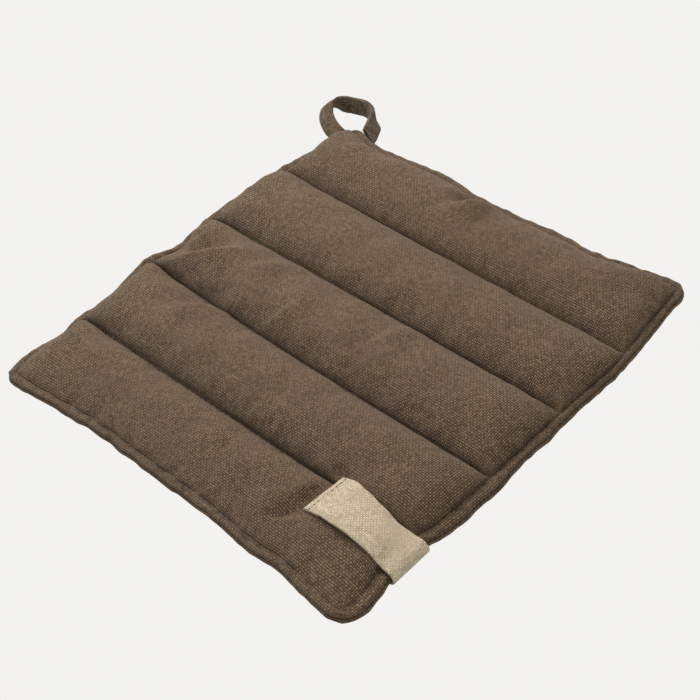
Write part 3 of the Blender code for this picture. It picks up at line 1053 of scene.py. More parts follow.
def cloth_lengths(places: Array) -> Array:
    """Measures a grid of places along the cloth, for straight threads to follow.

    Args:
        places: a grid of places, by column and row, in millimetres.

    Returns:
        The mean length along the columns and along the rows from the middle, in centimetres.
    """
    lengths = []
    for axis in (0, 1):
        steps = np.linalg.norm(np.diff(places, axis=axis), axis=-1).mean(axis=1 - axis)
        run = np.concatenate([[0.0], np.cumsum(steps)]) * MM / CM
        run -= run[len(run) // 2]
        lengths.append(run[:, None] if axis == 0 else run[None, :])
    return np.stack(np.broadcast_arrays(*lengths), -1)


def give_cloth_map(data: bpy.types.Mesh, lengths: Array) -> None:
    """Stores the lengths along the cloth as the mesh's UV map.

    Args:
        data: the mesh.
        lengths: the two lengths of each point, in centimetres.
    """
    layer = data.uv_layers.new(name="cloth")
    corners = np.zeros(len(data.loops), np.int32)
    data.loops.foreach_get("vertex_index", corners)
    layer.uv.foreach_set("vector", lengths[corners].astype(np.float32).ravel())


def give_painted_shade(data: bpy.types.Mesh, painted_shade_shares: Array) -> None:
    """Stores each point's share of shade painted into the cloth's colour, by how deep it lies in a groove
    or seam.
    """
    layer = data.attributes.new(name="painted_shade", type="FLOAT", domain="POINT")
    layer.data.foreach_set("value", painted_shade_shares.astype(np.float32))


def object_of(data: bpy.types.Mesh, name: str, material: bpy.types.Material) -> bpy.types.Object:
    """Makes a smooth shaded object of a mesh that is already in its place.

    Args:
        data: the mesh.
        name: the object's name.
        material: its one material.

    Returns:
        The object.
    """
    data.name = name
    data.shade_smooth()
    data.set_sharp_from_angle(angle=math.radians(SHARP_ANGLE))
    data.materials.append(material)
    made = bpy.data.objects.new(name, data)
    bpy.context.scene.collection.objects.link(made)
    return made


Signal = Union[float, Colour, bpy.types.NodeSocket]
MIX_COLOUR_INPUTS = (0, 6, 7)  # the share and the two colours among the Mix node's inputs
MIX_COLOUR_OUTPUT = 2


@dataclass(frozen=True)
class Wiring:
    """Adds nodes to a tree and joins them, so that a pattern reads as a few sums."""

    tree: bpy.types.NodeTree

    def node(self, kind: str, **settings: object) -> bpy.types.Node:
        """Adds a node.

        Args:
            kind: the node's type.
            settings: its options and their values.

        Returns:
            The node.
        """
        made = self.tree.nodes.new(kind)
        for name, value in settings.items():
            setattr(made, name, value)
        return made

    def feed(self, socket: bpy.types.NodeSocket, signal: Signal) -> None:
        """Joins a signal to a socket, or sets the socket's own value.

        Args:
            socket: the socket that is fed.
            signal: another node's output, a number or a colour.
        """
        if isinstance(signal, bpy.types.NodeSocket):
            self.tree.links.new(signal, socket)
        elif isinstance(signal, tuple) and len(signal) == 3 and socket.type == "RGBA":
            socket.default_value = (*signal, 1.0)
        else:
            socket.default_value = signal

    def fed(self, node: bpy.types.Node, **signals: Signal) -> bpy.types.NodeSocket:
        """Feeds a node's inputs by name.

        Args:
            node: the node.
            signals: what goes in, by the input's name with _ for each space.

        Returns:
            The node's first output.
        """
        for name, signal in signals.items():
            self.feed(node.inputs[name.replace("_", " ")], signal)
        return node.outputs[0]

    def math(self, operation: str, *signals: Signal) -> bpy.types.NodeSocket:
        """Works out one sum.

        Args:
            operation: the sum's name, as the Math node calls it.
            signals: what goes in.

        Returns:
            The answer.
        """
        made = self.node("ShaderNodeMath", operation=operation)
        for socket, signal in zip(made.inputs, signals):
            self.feed(socket, signal)
        return made.outputs[0]

    def vector(self, x: Signal, y: Signal, z: Signal = 0.0) -> bpy.types.NodeSocket:
        """Joins three numbers into one vector."""
        return self.fed(self.node("ShaderNodeCombineXYZ"), X=x, Y=y, Z=z)

    def parts(self, vector: Signal) -> tuple[bpy.types.NodeSocket, ...]:
        """Parts a vector into its three numbers.

        Args:
            vector: the vector.

        Returns:
            Its X, Y and Z.
        """
        made = self.node("ShaderNodeSeparateXYZ")
        self.fed(made, Vector=vector)
        return tuple(made.outputs)

    def noise(
        self, vector: Signal, scale: float, detail: float = 1.0, roughness: float = 0.5
    ) -> bpy.types.NodeSocket:
        """Adds a cloud pattern.

        Args:
            vector: where it is read.
            scale: how many clouds there are to a unit.
            detail: how many finer layers it has.
            roughness: how strong the finer layers are.

        Returns:
            Its value, about 0.2 to 0.8.
        """
        made = self.node("ShaderNodeTexNoise", noise_dimensions="3D")
        return self.fed(made, Vector=vector, Scale=scale, Detail=detail, Roughness=roughness)

    def spread(self, signal: Signal, low: Signal, high: Signal) -> bpy.types.NodeSocket:
        """Eases a signal from 0 at low to 1 at high."""
        made = self.node("ShaderNodeMapRange", interpolation_type="SMOOTHSTEP")
        return self.fed(made, Value=signal, From_Min=low, From_Max=high)

    def blend(self, share: Signal, first: Signal, second: Signal) -> bpy.types.NodeSocket:
        """Mixes two colours.

        Args:
            share: how much of the second one there is.
            first: the first colour.
            second: the second colour.

        Returns:
            The mixed colour.
        """
        made = self.node("ShaderNodeMix", data_type="RGBA")
        factor, colour_a, colour_b = (made.inputs[i] for i in MIX_COLOUR_INPUTS)
        self.feed(factor, share)
        self.feed(colour_a, first)
        self.feed(colour_b, second)
        return made.outputs[MIX_COLOUR_OUTPUT]

    def bump(self, shader: bpy.types.Node, height: Signal, distance: float) -> None:
        """Raises a shader's surface by a pattern.

        Args:
            shader: the shader.
            height: the pattern, from 0 to 1.
            distance: how high it stands where it is 1, in metres.
        """
        made = self.node("ShaderNodeBump")
        self.fed(shader, Normal=self.fed(made, Strength=1.0, Distance=distance, Height=height))


@dataclass(frozen=True)
class PlainWeave:
    """The shader group of a plain weave: threads over and under, uneven in thickness and tone."""

    name: str = "plain_weave"
    inputs: tuple[str, ...] = (
        "Warp per cm", "Weft per cm", "Unevenness", "Slub", "Thread Width", "Contrast"
    )
    outputs: tuple[str, ...] = ("Height", "Tone", "Cover", "Fibre")
    stray_across: float = 0.55  # how fast the straying changes from thread to thread
    stray_along: float = 0.6  # and along a thread, to a centimetre
    stray_layer: float = 5.0  # where in the clouds each pattern is read
    warp_layer: float = 3.0
    weft_layer: float = 9.0
    warp_stride: float = 7.31  # how far apart the tones of two neighbours are read
    weft_stride: float = 5.77
    tone_scale: float = 2.6
    tone_detail: float = 1.5
    knot_share: float = 0.4  # how much higher the highest crossing is than the lowest
    rise: float = 0.48  # half of a thread's way up and down, as a share of its height
    fibre_scale: float = 42.0
    fibre_detail: float = 2.0
    fibre_roughness: float = 0.6
    fibre_height: float = 0.18
    gap_height: float = 0.25  # up to this height the painted shade of the gap between the threads shows
    cover_height: float = 0.9  # from this height the thread's own colour does

    def group(self) -> bpy.types.NodeTree:
        """Builds the group once and gives it again after that.

        Returns:
            The group.
        """
        tree = bpy.data.node_groups.get(self.name)
        if tree is None:
            tree = bpy.data.node_groups.new(self.name, "ShaderNodeTree")
            self.sockets(tree)
            self.wire(tree)
        return tree

    def sockets(self, tree: bpy.types.NodeTree) -> None:
        """Adds the group's sockets.

        Args:
            tree: the empty group.
        """
        face = tree.interface
        face.new_socket("Vector", in_out="INPUT", socket_type="NodeSocketVector")
        for name in self.inputs:
            face.new_socket(name, in_out="INPUT", socket_type="NodeSocketFloat")
        for name in self.outputs:
            face.new_socket(name, in_out="OUTPUT", socket_type="NodeSocketFloat")

    def wire(self, tree: bpy.types.NodeTree) -> None:
        """Adds the group's nodes.

        Args:
            tree: the group, with its sockets.
        """
        w = Wiring(tree)
        given = w.node("NodeGroupInput").outputs
        u, v, _ = w.parts(given["Vector"])
        index, off, tone = {}, {}, {}
        for thread, run, along, per_cm in (
            ("warp", u, v, given["Warp per cm"]),
            ("weft", v, u, given["Weft per cm"]),
        ):
            beside = w.math("MULTIPLY", w.math("MULTIPLY", run, per_cm), self.stray_across)
            where = w.vector(beside, w.math("MULTIPLY", along, self.stray_along), self.stray_layer)
            stray = w.math("SUBTRACT", w.noise(where, 1.0), 0.5)
            at = w.math("MULTIPLY_ADD", run, per_cm, w.math("MULTIPLY", stray, given["Unevenness"]))
            index[thread] = w.math("FLOOR", at)
            off[thread] = w.math("MULTIPLY_ADD", w.math("FRACT", at), 2.0, -1.0)
        where = w.vector(w.math("MULTIPLY", index["warp"], self.warp_stride), v, self.warp_layer)
        tone["warp"] = w.noise(where, self.tone_scale, self.tone_detail)
        where = w.vector(u, w.math("MULTIPLY", index["weft"], self.weft_stride), self.weft_layer)
        tone["weft"] = w.noise(where, self.tone_scale, self.tone_detail)
        crossing = w.node("ShaderNodeTexWhiteNoise", noise_dimensions="2D")
        chance = w.fed(crossing, Vector=w.vector(index["warp"], index["weft"]))
        knot = w.math("MULTIPLY_ADD", chance, self.knot_share, 1.0 - self.knot_share / 2.0)
        speck = w.math("MULTIPLY", w.math("SUBTRACT", chance, 0.5), given["Unevenness"])
        both = w.math("ADD", index["warp"], index["weft"])
        side = w.math("MULTIPLY_ADD", w.math("FLOORED_MODULO", both, 2.0), -2.0, 1.0)
        height = {}
        for thread, other, way in (("warp", "weft", 1.0), ("weft", "warp", -1.0)):
            arch = w.math("COSINE", w.math("MULTIPLY", off[other], math.pi / 2.0))
            over = w.math("MULTIPLY", w.math("MULTIPLY", side, way), arch)
            swell = w.math("MULTIPLY", w.math("SUBTRACT", tone[thread], 0.5), given["Slub"])
            thick = w.math("ADD", swell, given["Thread Width"])
            across = w.math("POWER", w.math("DIVIDE", w.math("ABSOLUTE", off[thread]), thick), 2.0)
            bulge = w.math("SQRT", w.math("MAXIMUM", w.math("SUBTRACT", 1.0, across), 0.0))
            level = w.math("MULTIPLY_ADD", over, self.rise, 1.0 - self.rise)
            height[thread] = w.math("MULTIPLY", bulge, level)
        tallest = w.math("MULTIPLY", w.math("MAXIMUM", height["warp"], height["weft"]), knot)
        on_warp = w.math("GREATER_THAN", height["warp"], height["weft"])
        warp_tone = w.math("MULTIPLY", on_warp, w.math("SUBTRACT", tone["warp"], tone["weft"]))
        lighter = w.math("MULTIPLY_ADD", w.math("SUBTRACT", on_warp, 0.5), given["Contrast"], speck)
        fibre = w.noise(given["Vector"], self.fibre_scale, self.fibre_detail, self.fibre_roughness)
        out = w.node("NodeGroupOutput").inputs
        raised = w.math("MULTIPLY_ADD", w.math("SUBTRACT", fibre, 0.5), self.fibre_height, tallest)
        w.feed(out["Height"], raised)
        w.feed(out["Tone"], w.math("ADD", w.math("ADD", tone["weft"], warp_tone), lighter))
        # Cover: share of the thread's own colour by its height; lower down the gap's painted shade shows,
        # so the threads' sides darken too
        w.feed(out["Cover"], w.spread(tallest, self.gap_height, self.cover_height))
        w.feed(out["Fibre"], fibre)


@dataclass(frozen=True)
class ClothFinish:
    """A woven cloth: its threads, its colours and how it takes the light."""

    name: str
    light: Colour
    dark: Colour
    # painted shade in the gaps between the threads
    gap: Colour
    warm: Colour  # tint of the warmer patches
    painted_shade: Colour  # painted shade: the colour that the cloth is darkened to deep in seams and stitched grooves
    warp_per_cm: float
    weft_per_cm: float
    unevenness: float
    slub: float
    relief: float  # height of the threads
    roughness: float
    sheen: float
    contrast: float = 0.34  # how much lighter the warp is than the weft
    thread_width: float = 0.9
    tones: tuple[float, float] = (0.1, 0.9)  # the tones at which a thread is dark, and light
    patch_share: float = 0.35  # how far the warmer patches take on their tint
    patch_scale: float = 0.55
    patch_detail: float = 2.0
    patch_edges: tuple[float, float] = (0.42, 0.68)
    roughness_swing: float = 0.2
    specular: float = 0.2
    sheen_roughness: float = 0.45
    sheen_tint: Colour = (1.0, 0.88, 0.78)

    def material(self) -> bpy.types.Material:
        """Makes the cloth's material, which follows the piece's own cloth map.

        Returns:
            The material.
        """
        made = bpy.data.materials.new(self.name)
        made.use_nodes = True
        w = Wiring(made.node_tree)
        shader = made.node_tree.nodes["Principled BSDF"]
        at = w.node("ShaderNodeUVMap", uv_map="cloth").outputs[0]
        weave = w.node("ShaderNodeGroup", node_tree=PlainWeave().group())
        w.fed(
            weave,
            Vector=at,
            Warp_per_cm=self.warp_per_cm,
            Weft_per_cm=self.weft_per_cm,
            Unevenness=self.unevenness,
            Slub=self.slub,
            Thread_Width=self.thread_width,
            Contrast=self.contrast,
        )
        fuzz = w.math("SUBTRACT", 0.5, weave.outputs["Fibre"])
        w.fed(
            shader,
            Base_Color=self.colour(w, weave, at),
            Roughness=w.math("MULTIPLY_ADD", fuzz, self.roughness_swing, self.roughness),
            Specular_IOR_Level=self.specular,
            Sheen_Weight=self.sheen,
            Sheen_Roughness=self.sheen_roughness,
            Sheen_Tint=self.sheen_tint,
        )
        w.bump(shader, weave.outputs["Height"], self.relief * MM)
        return made

    def colour(self, w: Wiring, weave: bpy.types.Node, at: Signal) -> bpy.types.NodeSocket:
        """Colours the threads, the painted shade in the gaps between them, the warmer patches, and the
        shade painted into seams and stitched grooves.

        Args:
            w: the material's wiring.
            weave: the weave, with its inputs fed.
            at: the cloth map.

        Returns:
            The colour.
        """
        threads = w.blend(w.spread(weave.outputs["Tone"], *self.tones), self.dark, self.light)
        patches = w.spread(w.noise(at, self.patch_scale, self.patch_detail), *self.patch_edges)
        tinted = w.blend(w.math("MULTIPLY", patches, self.patch_share), threads, self.warm)
        # the gaps between the threads get their painted shade
        woven = w.blend(weave.outputs["Cover"], self.gap, tinted)
        # shade painted into seams and stitched grooves, by the share stored on the mesh
        painted_shade = w.node("ShaderNodeAttribute", attribute_name="painted_shade").outputs["Fac"]
        return w.blend(painted_shade, woven, self.painted_shade)


@dataclass(frozen=True)
class ThreadFinish:
    """A sewing thread: two plies twisted round each other."""

    name: str
    colour: Colour
    # painted shade in the grooves between the twisted plies
    shade: Colour
    roughness: float = 0.75
    sheen: float = 0.2
    twist_scale: float = 400.0  # how fine the twist is, as the scale of the wave pattern
    ply_height: float = 0.08

    def material(self) -> bpy.types.Material:
        """Makes the thread's material, with its twist as fine slanting bands.

        Returns:
            The material.
        """
        made = bpy.data.materials.new(self.name)
        made.use_nodes = True
        w = Wiring(made.node_tree)
        shader = made.node_tree.nodes["Principled BSDF"]
        bands = w.node("ShaderNodeTexWave", wave_type="BANDS", bands_direction="DIAGONAL")
        place = w.node("ShaderNodeTexCoord").outputs["Object"]
        w.fed(bands, Vector=place, Scale=self.twist_scale, Distortion=1.0)
        ply = bands.outputs["Fac"]
        # the twist's bands darken to the painted shade between the plies
        colour = w.blend(ply, self.shade, self.colour)
        w.fed(shader, Base_Color=colour, Roughness=self.roughness, Sheen_Weight=self.sheen)
        w.bump(shader, ply, self.ply_height * MM)
        return made


BROWN_CLOTH = ClothFinish(
    name="brown_cloth",
    light=(0.221, 0.149, 0.089),
    dark=(0.103, 0.067, 0.037),
    gap=(0.030, 0.018, 0.009),
    warm=(0.165, 0.109, 0.076),
    painted_shade=(0.032, 0.019, 0.010),
    warp_per_cm=11.8,
    weft_per_cm=10.0,
    unevenness=0.3,
    slub=0.4,
    relief=0.34,
    roughness=0.88,
    sheen=0.14,
)
# the brown cloth, made darker all over as painted shade on the hanging loop
LOOP_CLOTH = ClothFinish(
    name="loop_cloth",
    light=(0.184, 0.126, 0.077),
    dark=(0.078, 0.051, 0.030),
    gap=(0.022, 0.013, 0.006),
    warm=(0.145, 0.099, 0.073),
    painted_shade=(0.034, 0.020, 0.010),
    warp_per_cm=11.8,
    weft_per_cm=10.0,
    unevenness=0.5,
    slub=0.5,
    relief=0.34,
    roughness=0.88,
    sheen=0.1,
)
LINEN_TAPE = ClothFinish(
    name="linen_tape",
    light=(0.740, 0.633, 0.470),
    dark=(0.416, 0.343, 0.240),
    gap=(0.265, 0.207, 0.136),
    warm=(0.645, 0.546, 0.393),
    painted_shade=(0.150, 0.100, 0.055),
    warp_per_cm=13.5,
    weft_per_cm=12.0,
    unevenness=0.3,
    slub=0.35,
    relief=0.2,
    roughness=0.85,
    sheen=0.1,
    contrast=0.4,
    patch_share=0.06,
)
BROWN_THREAD = ThreadFinish("brown_thread", (0.115, 0.083, 0.055), (0.045, 0.032, 0.022))
# small dark pits: painted shade of the needle holes in the tab
PAINTED_HOLE_SHADE = ThreadFinish("painted_hole_shade", (0.050, 0.032, 0.018), (0.030, 0.019, 0.010))
LINEN_THREAD = ThreadFinish("linen_thread", (0.560, 0.450, 0.300), (0.270, 0.195, 0.115))


def tape_of(places: Array, name: str, finish: ClothFinish, thickness: float) -> bpy.types.Object:
    """Makes a tape of cloth that follows a grid of places.

    Args:
        places: the places of the tape's middle, by section and place across.
        name: the object's name.
        finish: the tape's cloth.
        thickness: how thick the cloth is.

    Returns:
        The tape's object.
    """
    columns, rows = places.shape[:2]
    mesh = bmesh.new()
    bmesh.ops.create_grid(mesh, x_segments=columns - 1, y_segments=rows - 1, size=1.0)
    data = mesh_data(mesh, name)
    column, row, _ = GridShell(columns, rows).lay(data, places, places)
    give_cloth_map(data, cloth_lengths(places)[column, row])
    made = object_of(data, name, finish.material())
    wall = made.modifiers.new("wall", "SOLIDIFY")
    wall.thickness = thickness * MM
    wall.offset = 0.0
    return made


@dataclass
class Stitching:
    """Rows of machine stitches, each a short thread that dips into the cloth at both ends."""

    name: str
    finish: ThreadFinish
    pitch: float = 3.1
    gap: float = 0.55  # from one stitch to the next
    thickness: float = 0.42
    sides: int = 6
    rings: int = 4
    stitches: list[Array] = field(default_factory=list)

    def sew(self, line: Array, up: float) -> None:
        """Sews one row.

        Args:
            line: places along the row, close together.
            up: 1 for a row on a surface that faces up, -1 for one below.
        """
        steps = np.linalg.norm(np.diff(line, axis=0), axis=1)
        run = np.concatenate([[0.0], np.cumsum(steps)])
        count = max(int(run[-1] / self.pitch), 1)
        ends = np.linspace(0.0, run[-1], count + 1)
        places = np.stack([np.interp(ends, run, line[:, i]) for i in range(3)], -1)
        for start, end in zip(places, places[1:]):
            self.stitches.append(self.placed(Vector(start), Vector(end), up))

    def placed(self, start: Vector, end: Vector, up: float) -> Array:
        """Works out how a ball is stretched and turned into one stitch.

        Args:
            start: the first needle hole.
            end: the second needle hole.
            up: 1 for a stitch that faces up, -1 for one that faces down.

        Returns:
            The matrix that takes a ball one unit in radius to the stitch.
        """
        along = end - start
        across = Vector((0.0, 0.0, up)).cross(along).normalized()
        outward = along.normalized().cross(across)
        turn = Matrix((along.normalized(), across, outward)).transposed().to_4x4()
        length = (along.length - self.gap) / 2.0
        size = Matrix.Diagonal((length, self.thickness / 2.0, self.thickness / 2.0, 1.0))
        return np.array(Matrix.Translation((start + end) / 2.0) @ turn @ size)

    def array(self) -> bpy.types.Mesh:
        """Makes one mesh with a ball for each stitch, in the order of the stitches.

        Returns:
            The mesh.
        """
        mesh = bmesh.new()
        bmesh.ops.create_uvsphere(mesh, u_segments=self.sides, v_segments=self.rings, radius=1.0)
        ball = mesh_data(mesh, "one_stitch")
        row = bpy.data.objects.new("row_of_stitches", ball)
        bpy.context.scene.collection.objects.link(row)
        copies = row.modifiers.new("copies", "ARRAY")
        copies.count = len(self.stitches)
        copies.use_merge_vertices = False
        seen = row.evaluated_get(bpy.context.evaluated_depsgraph_get())
        data = bpy.data.meshes.new_from_object(seen)
        balls = coordinates(ball)
        bpy.data.objects.remove(row)
        matrices = np.array(self.stitches)
        laid = np.einsum("sij,vj->svi", matrices[:, :3, :3], balls) + matrices[:, None, :3, 3]
        data.vertices.foreach_set("co", (laid * MM).astype(np.float32).ravel())
        data.update()
        return data

    def finish_piece(self) -> bpy.types.Object:
        """Makes the object of all the rows, riding on the part.


        Returns:
            The object.
        """
        made = object_of(self.array(), self.name, self.finish.material())
        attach(made, ROOT)
        return made


@dataclass
class QuiltedPad:
    """The filled pad: two panels joined by a seam, rolled at the rim and quilted in channels."""

    form: PadForm = PadForm()
    rim_angles: tuple[float, ...] = (
        0.0, 3.0, 11.0, 22.0, 36.0, 52.0, 70.0, 89.0, 108.0, 127.0, 145.0, 161.0, 172.0, 180.0
    )
    groove_steps: tuple[float, ...] = (0.4, 0.62, 0.95, 1.45, 2.15, 3.1, 4.3)
    mesh_step: float = 1.42
    seam_pulls: tuple[SeamPull, ...] = (SeamPull(1.0, 0.15), SeamPull(0.75, 0.5))
    coarse_angles: tuple[float, ...] = (0.0, 60.0, 120.0, 180.0)  # of the simulated pad
    coarse_steps: tuple[float, ...] = (1.4, 3.6)
    coarse_step: float = 2.6
    press_grip: float = 3.0  # how soon the tab's pressure holds the simulated cloth in full
    stitch_proud: float = 0.2  # how far a stitch's middle stands out, as a share of its thickness
    seam_samples: int = 400  # places at which each row of stitches is read
    fill: float = 0.62

    def rim_insets(self, side: Side) -> list[float]:
        """Distances in from the outer edge, through the roll of the rim up to its stitch."""
        turns = [(1.0 - math.cos(math.radians(angle))) / 2.0 for angle in self.rim_angles]
        return [side.rim_width * turn for turn in turns]

    def span(self, start: float, end: float) -> list[float]:
        """Finds stations between two seams, closest together beside the seams.

        Args:
            start: where the first seam lies.
            end: where the second seam lies.

        Returns:
            The stations, with the first seam and without the second.
        """
        low, high = start + self.groove_steps[-1], end - self.groove_steps[-1]
        count = round((high - low) / self.mesh_step)
        middle = [low + (high - low) * i / count for i in range(1, count)]
        rising = [start + step for step in self.groove_steps]
        falling = [end - step for step in reversed(self.groove_steps)]
        return [start, *rising, *middle, *falling]

    def grid(self) -> ClothGrid:
        """Lays a grid over the plain square.

        Returns:
            The grid, which follows the rim and the stitch lines.
        """
        form = self.form
        left, right = self.rim_insets(form.left), self.rim_insets(form.right)
        inner = self.span(-form.half_side + left[-1], form.half_side - right[-1])
        x = np.array(
            [-form.half_side + inset for inset in left[:-1]]
            + inner
            + [form.half_side - inset for inset in reversed(right)]
        )
        bounds = form.bounds(x)
        middle = form.bounds(np.zeros(1))[:, 0]
        front, back = self.rim_insets(form.front), self.rim_insets(form.back)
        stations = [-form.half_side + inset for inset in front[:-1]]
        rows = [np.full(x.shape, station) for station in stations]
        for index, (low, high) in enumerate(zip(middle, middle[1:])):
            for station in self.span(low, high):
                part = (station - low) / (high - low)
                rows.append(bounds[index] + (bounds[index + 1] - bounds[index]) * part)
                stations.append(station)
        stations += [form.half_side - inset for inset in reversed(back)]
        rows += [np.full(x.shape, form.half_side - inset) for inset in reversed(back)]
        y = np.stack(rows, 1)
        return ClothGrid(x, np.array(stations), np.repeat(x[:, None], y.shape[1], 1), y)

    def draw_in_seam(self, grid: ClothGrid, lower: Array, upper: Array) -> None:
        """Pulls the outermost points, and a little less the next ones, into the rim's seam.

        Args:
            grid: the grid of the pad.
            lower: places of the underside, which are moved.
            upper: places of the top, which are moved.
        """
        outward = self.form.outward(grid.x, grid.y)
        for ring, (drawn, pinch) in enumerate(self.seam_pulls):
            edge = np.zeros(grid.x.shape, bool)
            edge[ring:-ring or None, ring:-ring or None] = True
            edge[ring + 1 : -ring - 1, ring + 1 : -ring - 1] = False
            middle = (lower[edge] + upper[edge]) / 2.0
            inward = outward[edge] * (self.form.seam_depth * drawn)
            for surface in (lower, upper):
                height = (surface[edge] - middle)[:, 2]
                pulled = middle + (surface[edge] - middle) * (1.0 - drawn)
                pulled[:, 2] = middle[:, 2] + height * pinch
                pulled[:, :2] -= inward
                surface[edge] = pulled

    def build(self) -> bpy.types.Object:
        """Makes the pad in place of its plain solid.

        Returns:
            The pad's object.
        """
        grid = self.grid()
        lower, upper = self.form.surfaces(grid.x, grid.y)
        upper += self.swelling(grid)
        self.draw_in_seam(grid, lower, upper)
        shell = GridShell(*grid.x.shape)
        data = mesh_data(shell.build(), "quilted_pad")
        column, row, above = shell.lay(data, lower, upper)
        below, top = cloth_lengths(lower)[column, row], cloth_lengths(upper)[column, row]
        give_cloth_map(data, np.where(above[:, None], top, below))
        give_painted_shade(data, self.form.painted_shade_shares(grid.x, grid.y)[column, row])
        made = object_of(data, "quilted_pad", BROWN_CLOTH.material())
        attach(made, ROOT)
        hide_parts("pad")
        return made

    def swelling(self, grid: ClothGrid) -> Array:
        """How far the filling moves the top, from a simulation on a coarser pad.

        Args:
            grid: the grid of the finished pad.

        Returns:
            The movement at each point of that grid.
        """
        coarse = QuiltedPad(self.form, self.coarse_angles, self.coarse_steps, self.coarse_step).grid()
        lower, upper = self.form.surfaces(coarse.x, coarse.y)
        part, _, behind = self.form.rim(coarse.x, coarse.y)
        _, _, beside = self.form.fullness(coarse.x, coarse.y)
        _, _, pressed = self.form.tab.press(upper[..., 0], upper[..., 1], lower[..., 2], upper[..., 2])
        sewn = (part <= 1.0) | (np.minimum(behind, beside) < self.form.stitch_half)
        held = np.where(sewn, 1.0, smooth(pressed * self.press_grip))
        return coarse.carry(Filling().swell(lower, upper, held), grid)

    def sew(self) -> bpy.types.Object:
        """Sews the quilting lines and the edge stitch through both panels.

        Returns:
            The object that holds all the stitches.
        """
        form = self.form
        stitches = Stitching("pad_stitches", BROWN_THREAD)
        inset_x = (-form.half_side + form.left.rim_width, form.half_side - form.right.rim_width)
        inset_y = (-form.half_side + form.front.rim_width, form.half_side - form.back.rim_width)
        fine = np.linspace(0.0, 1.0, self.seam_samples)
        along = inset_x[0] + (inset_x[1] - inset_x[0]) * fine
        lines = [(along, bound) for bound in form.bounds(along)[1:-1]]
        up_y = inset_y[0] + (inset_y[1] - inset_y[0]) * fine
        lines += [(along, np.full(along.shape, y)) for y in inset_y]
        lines += [(np.full(up_y.shape, x), up_y) for x in inset_x]
        proud = np.array([0.0, 0.0, stitches.thickness * self.stitch_proud])
        for x, y in lines:
            lower, upper = form.surfaces(x, y)
            stitches.sew(upper + proud, up=1.0)
            stitches.sew(lower - proud, up=-1.0)
        return stitches.finish_piece()


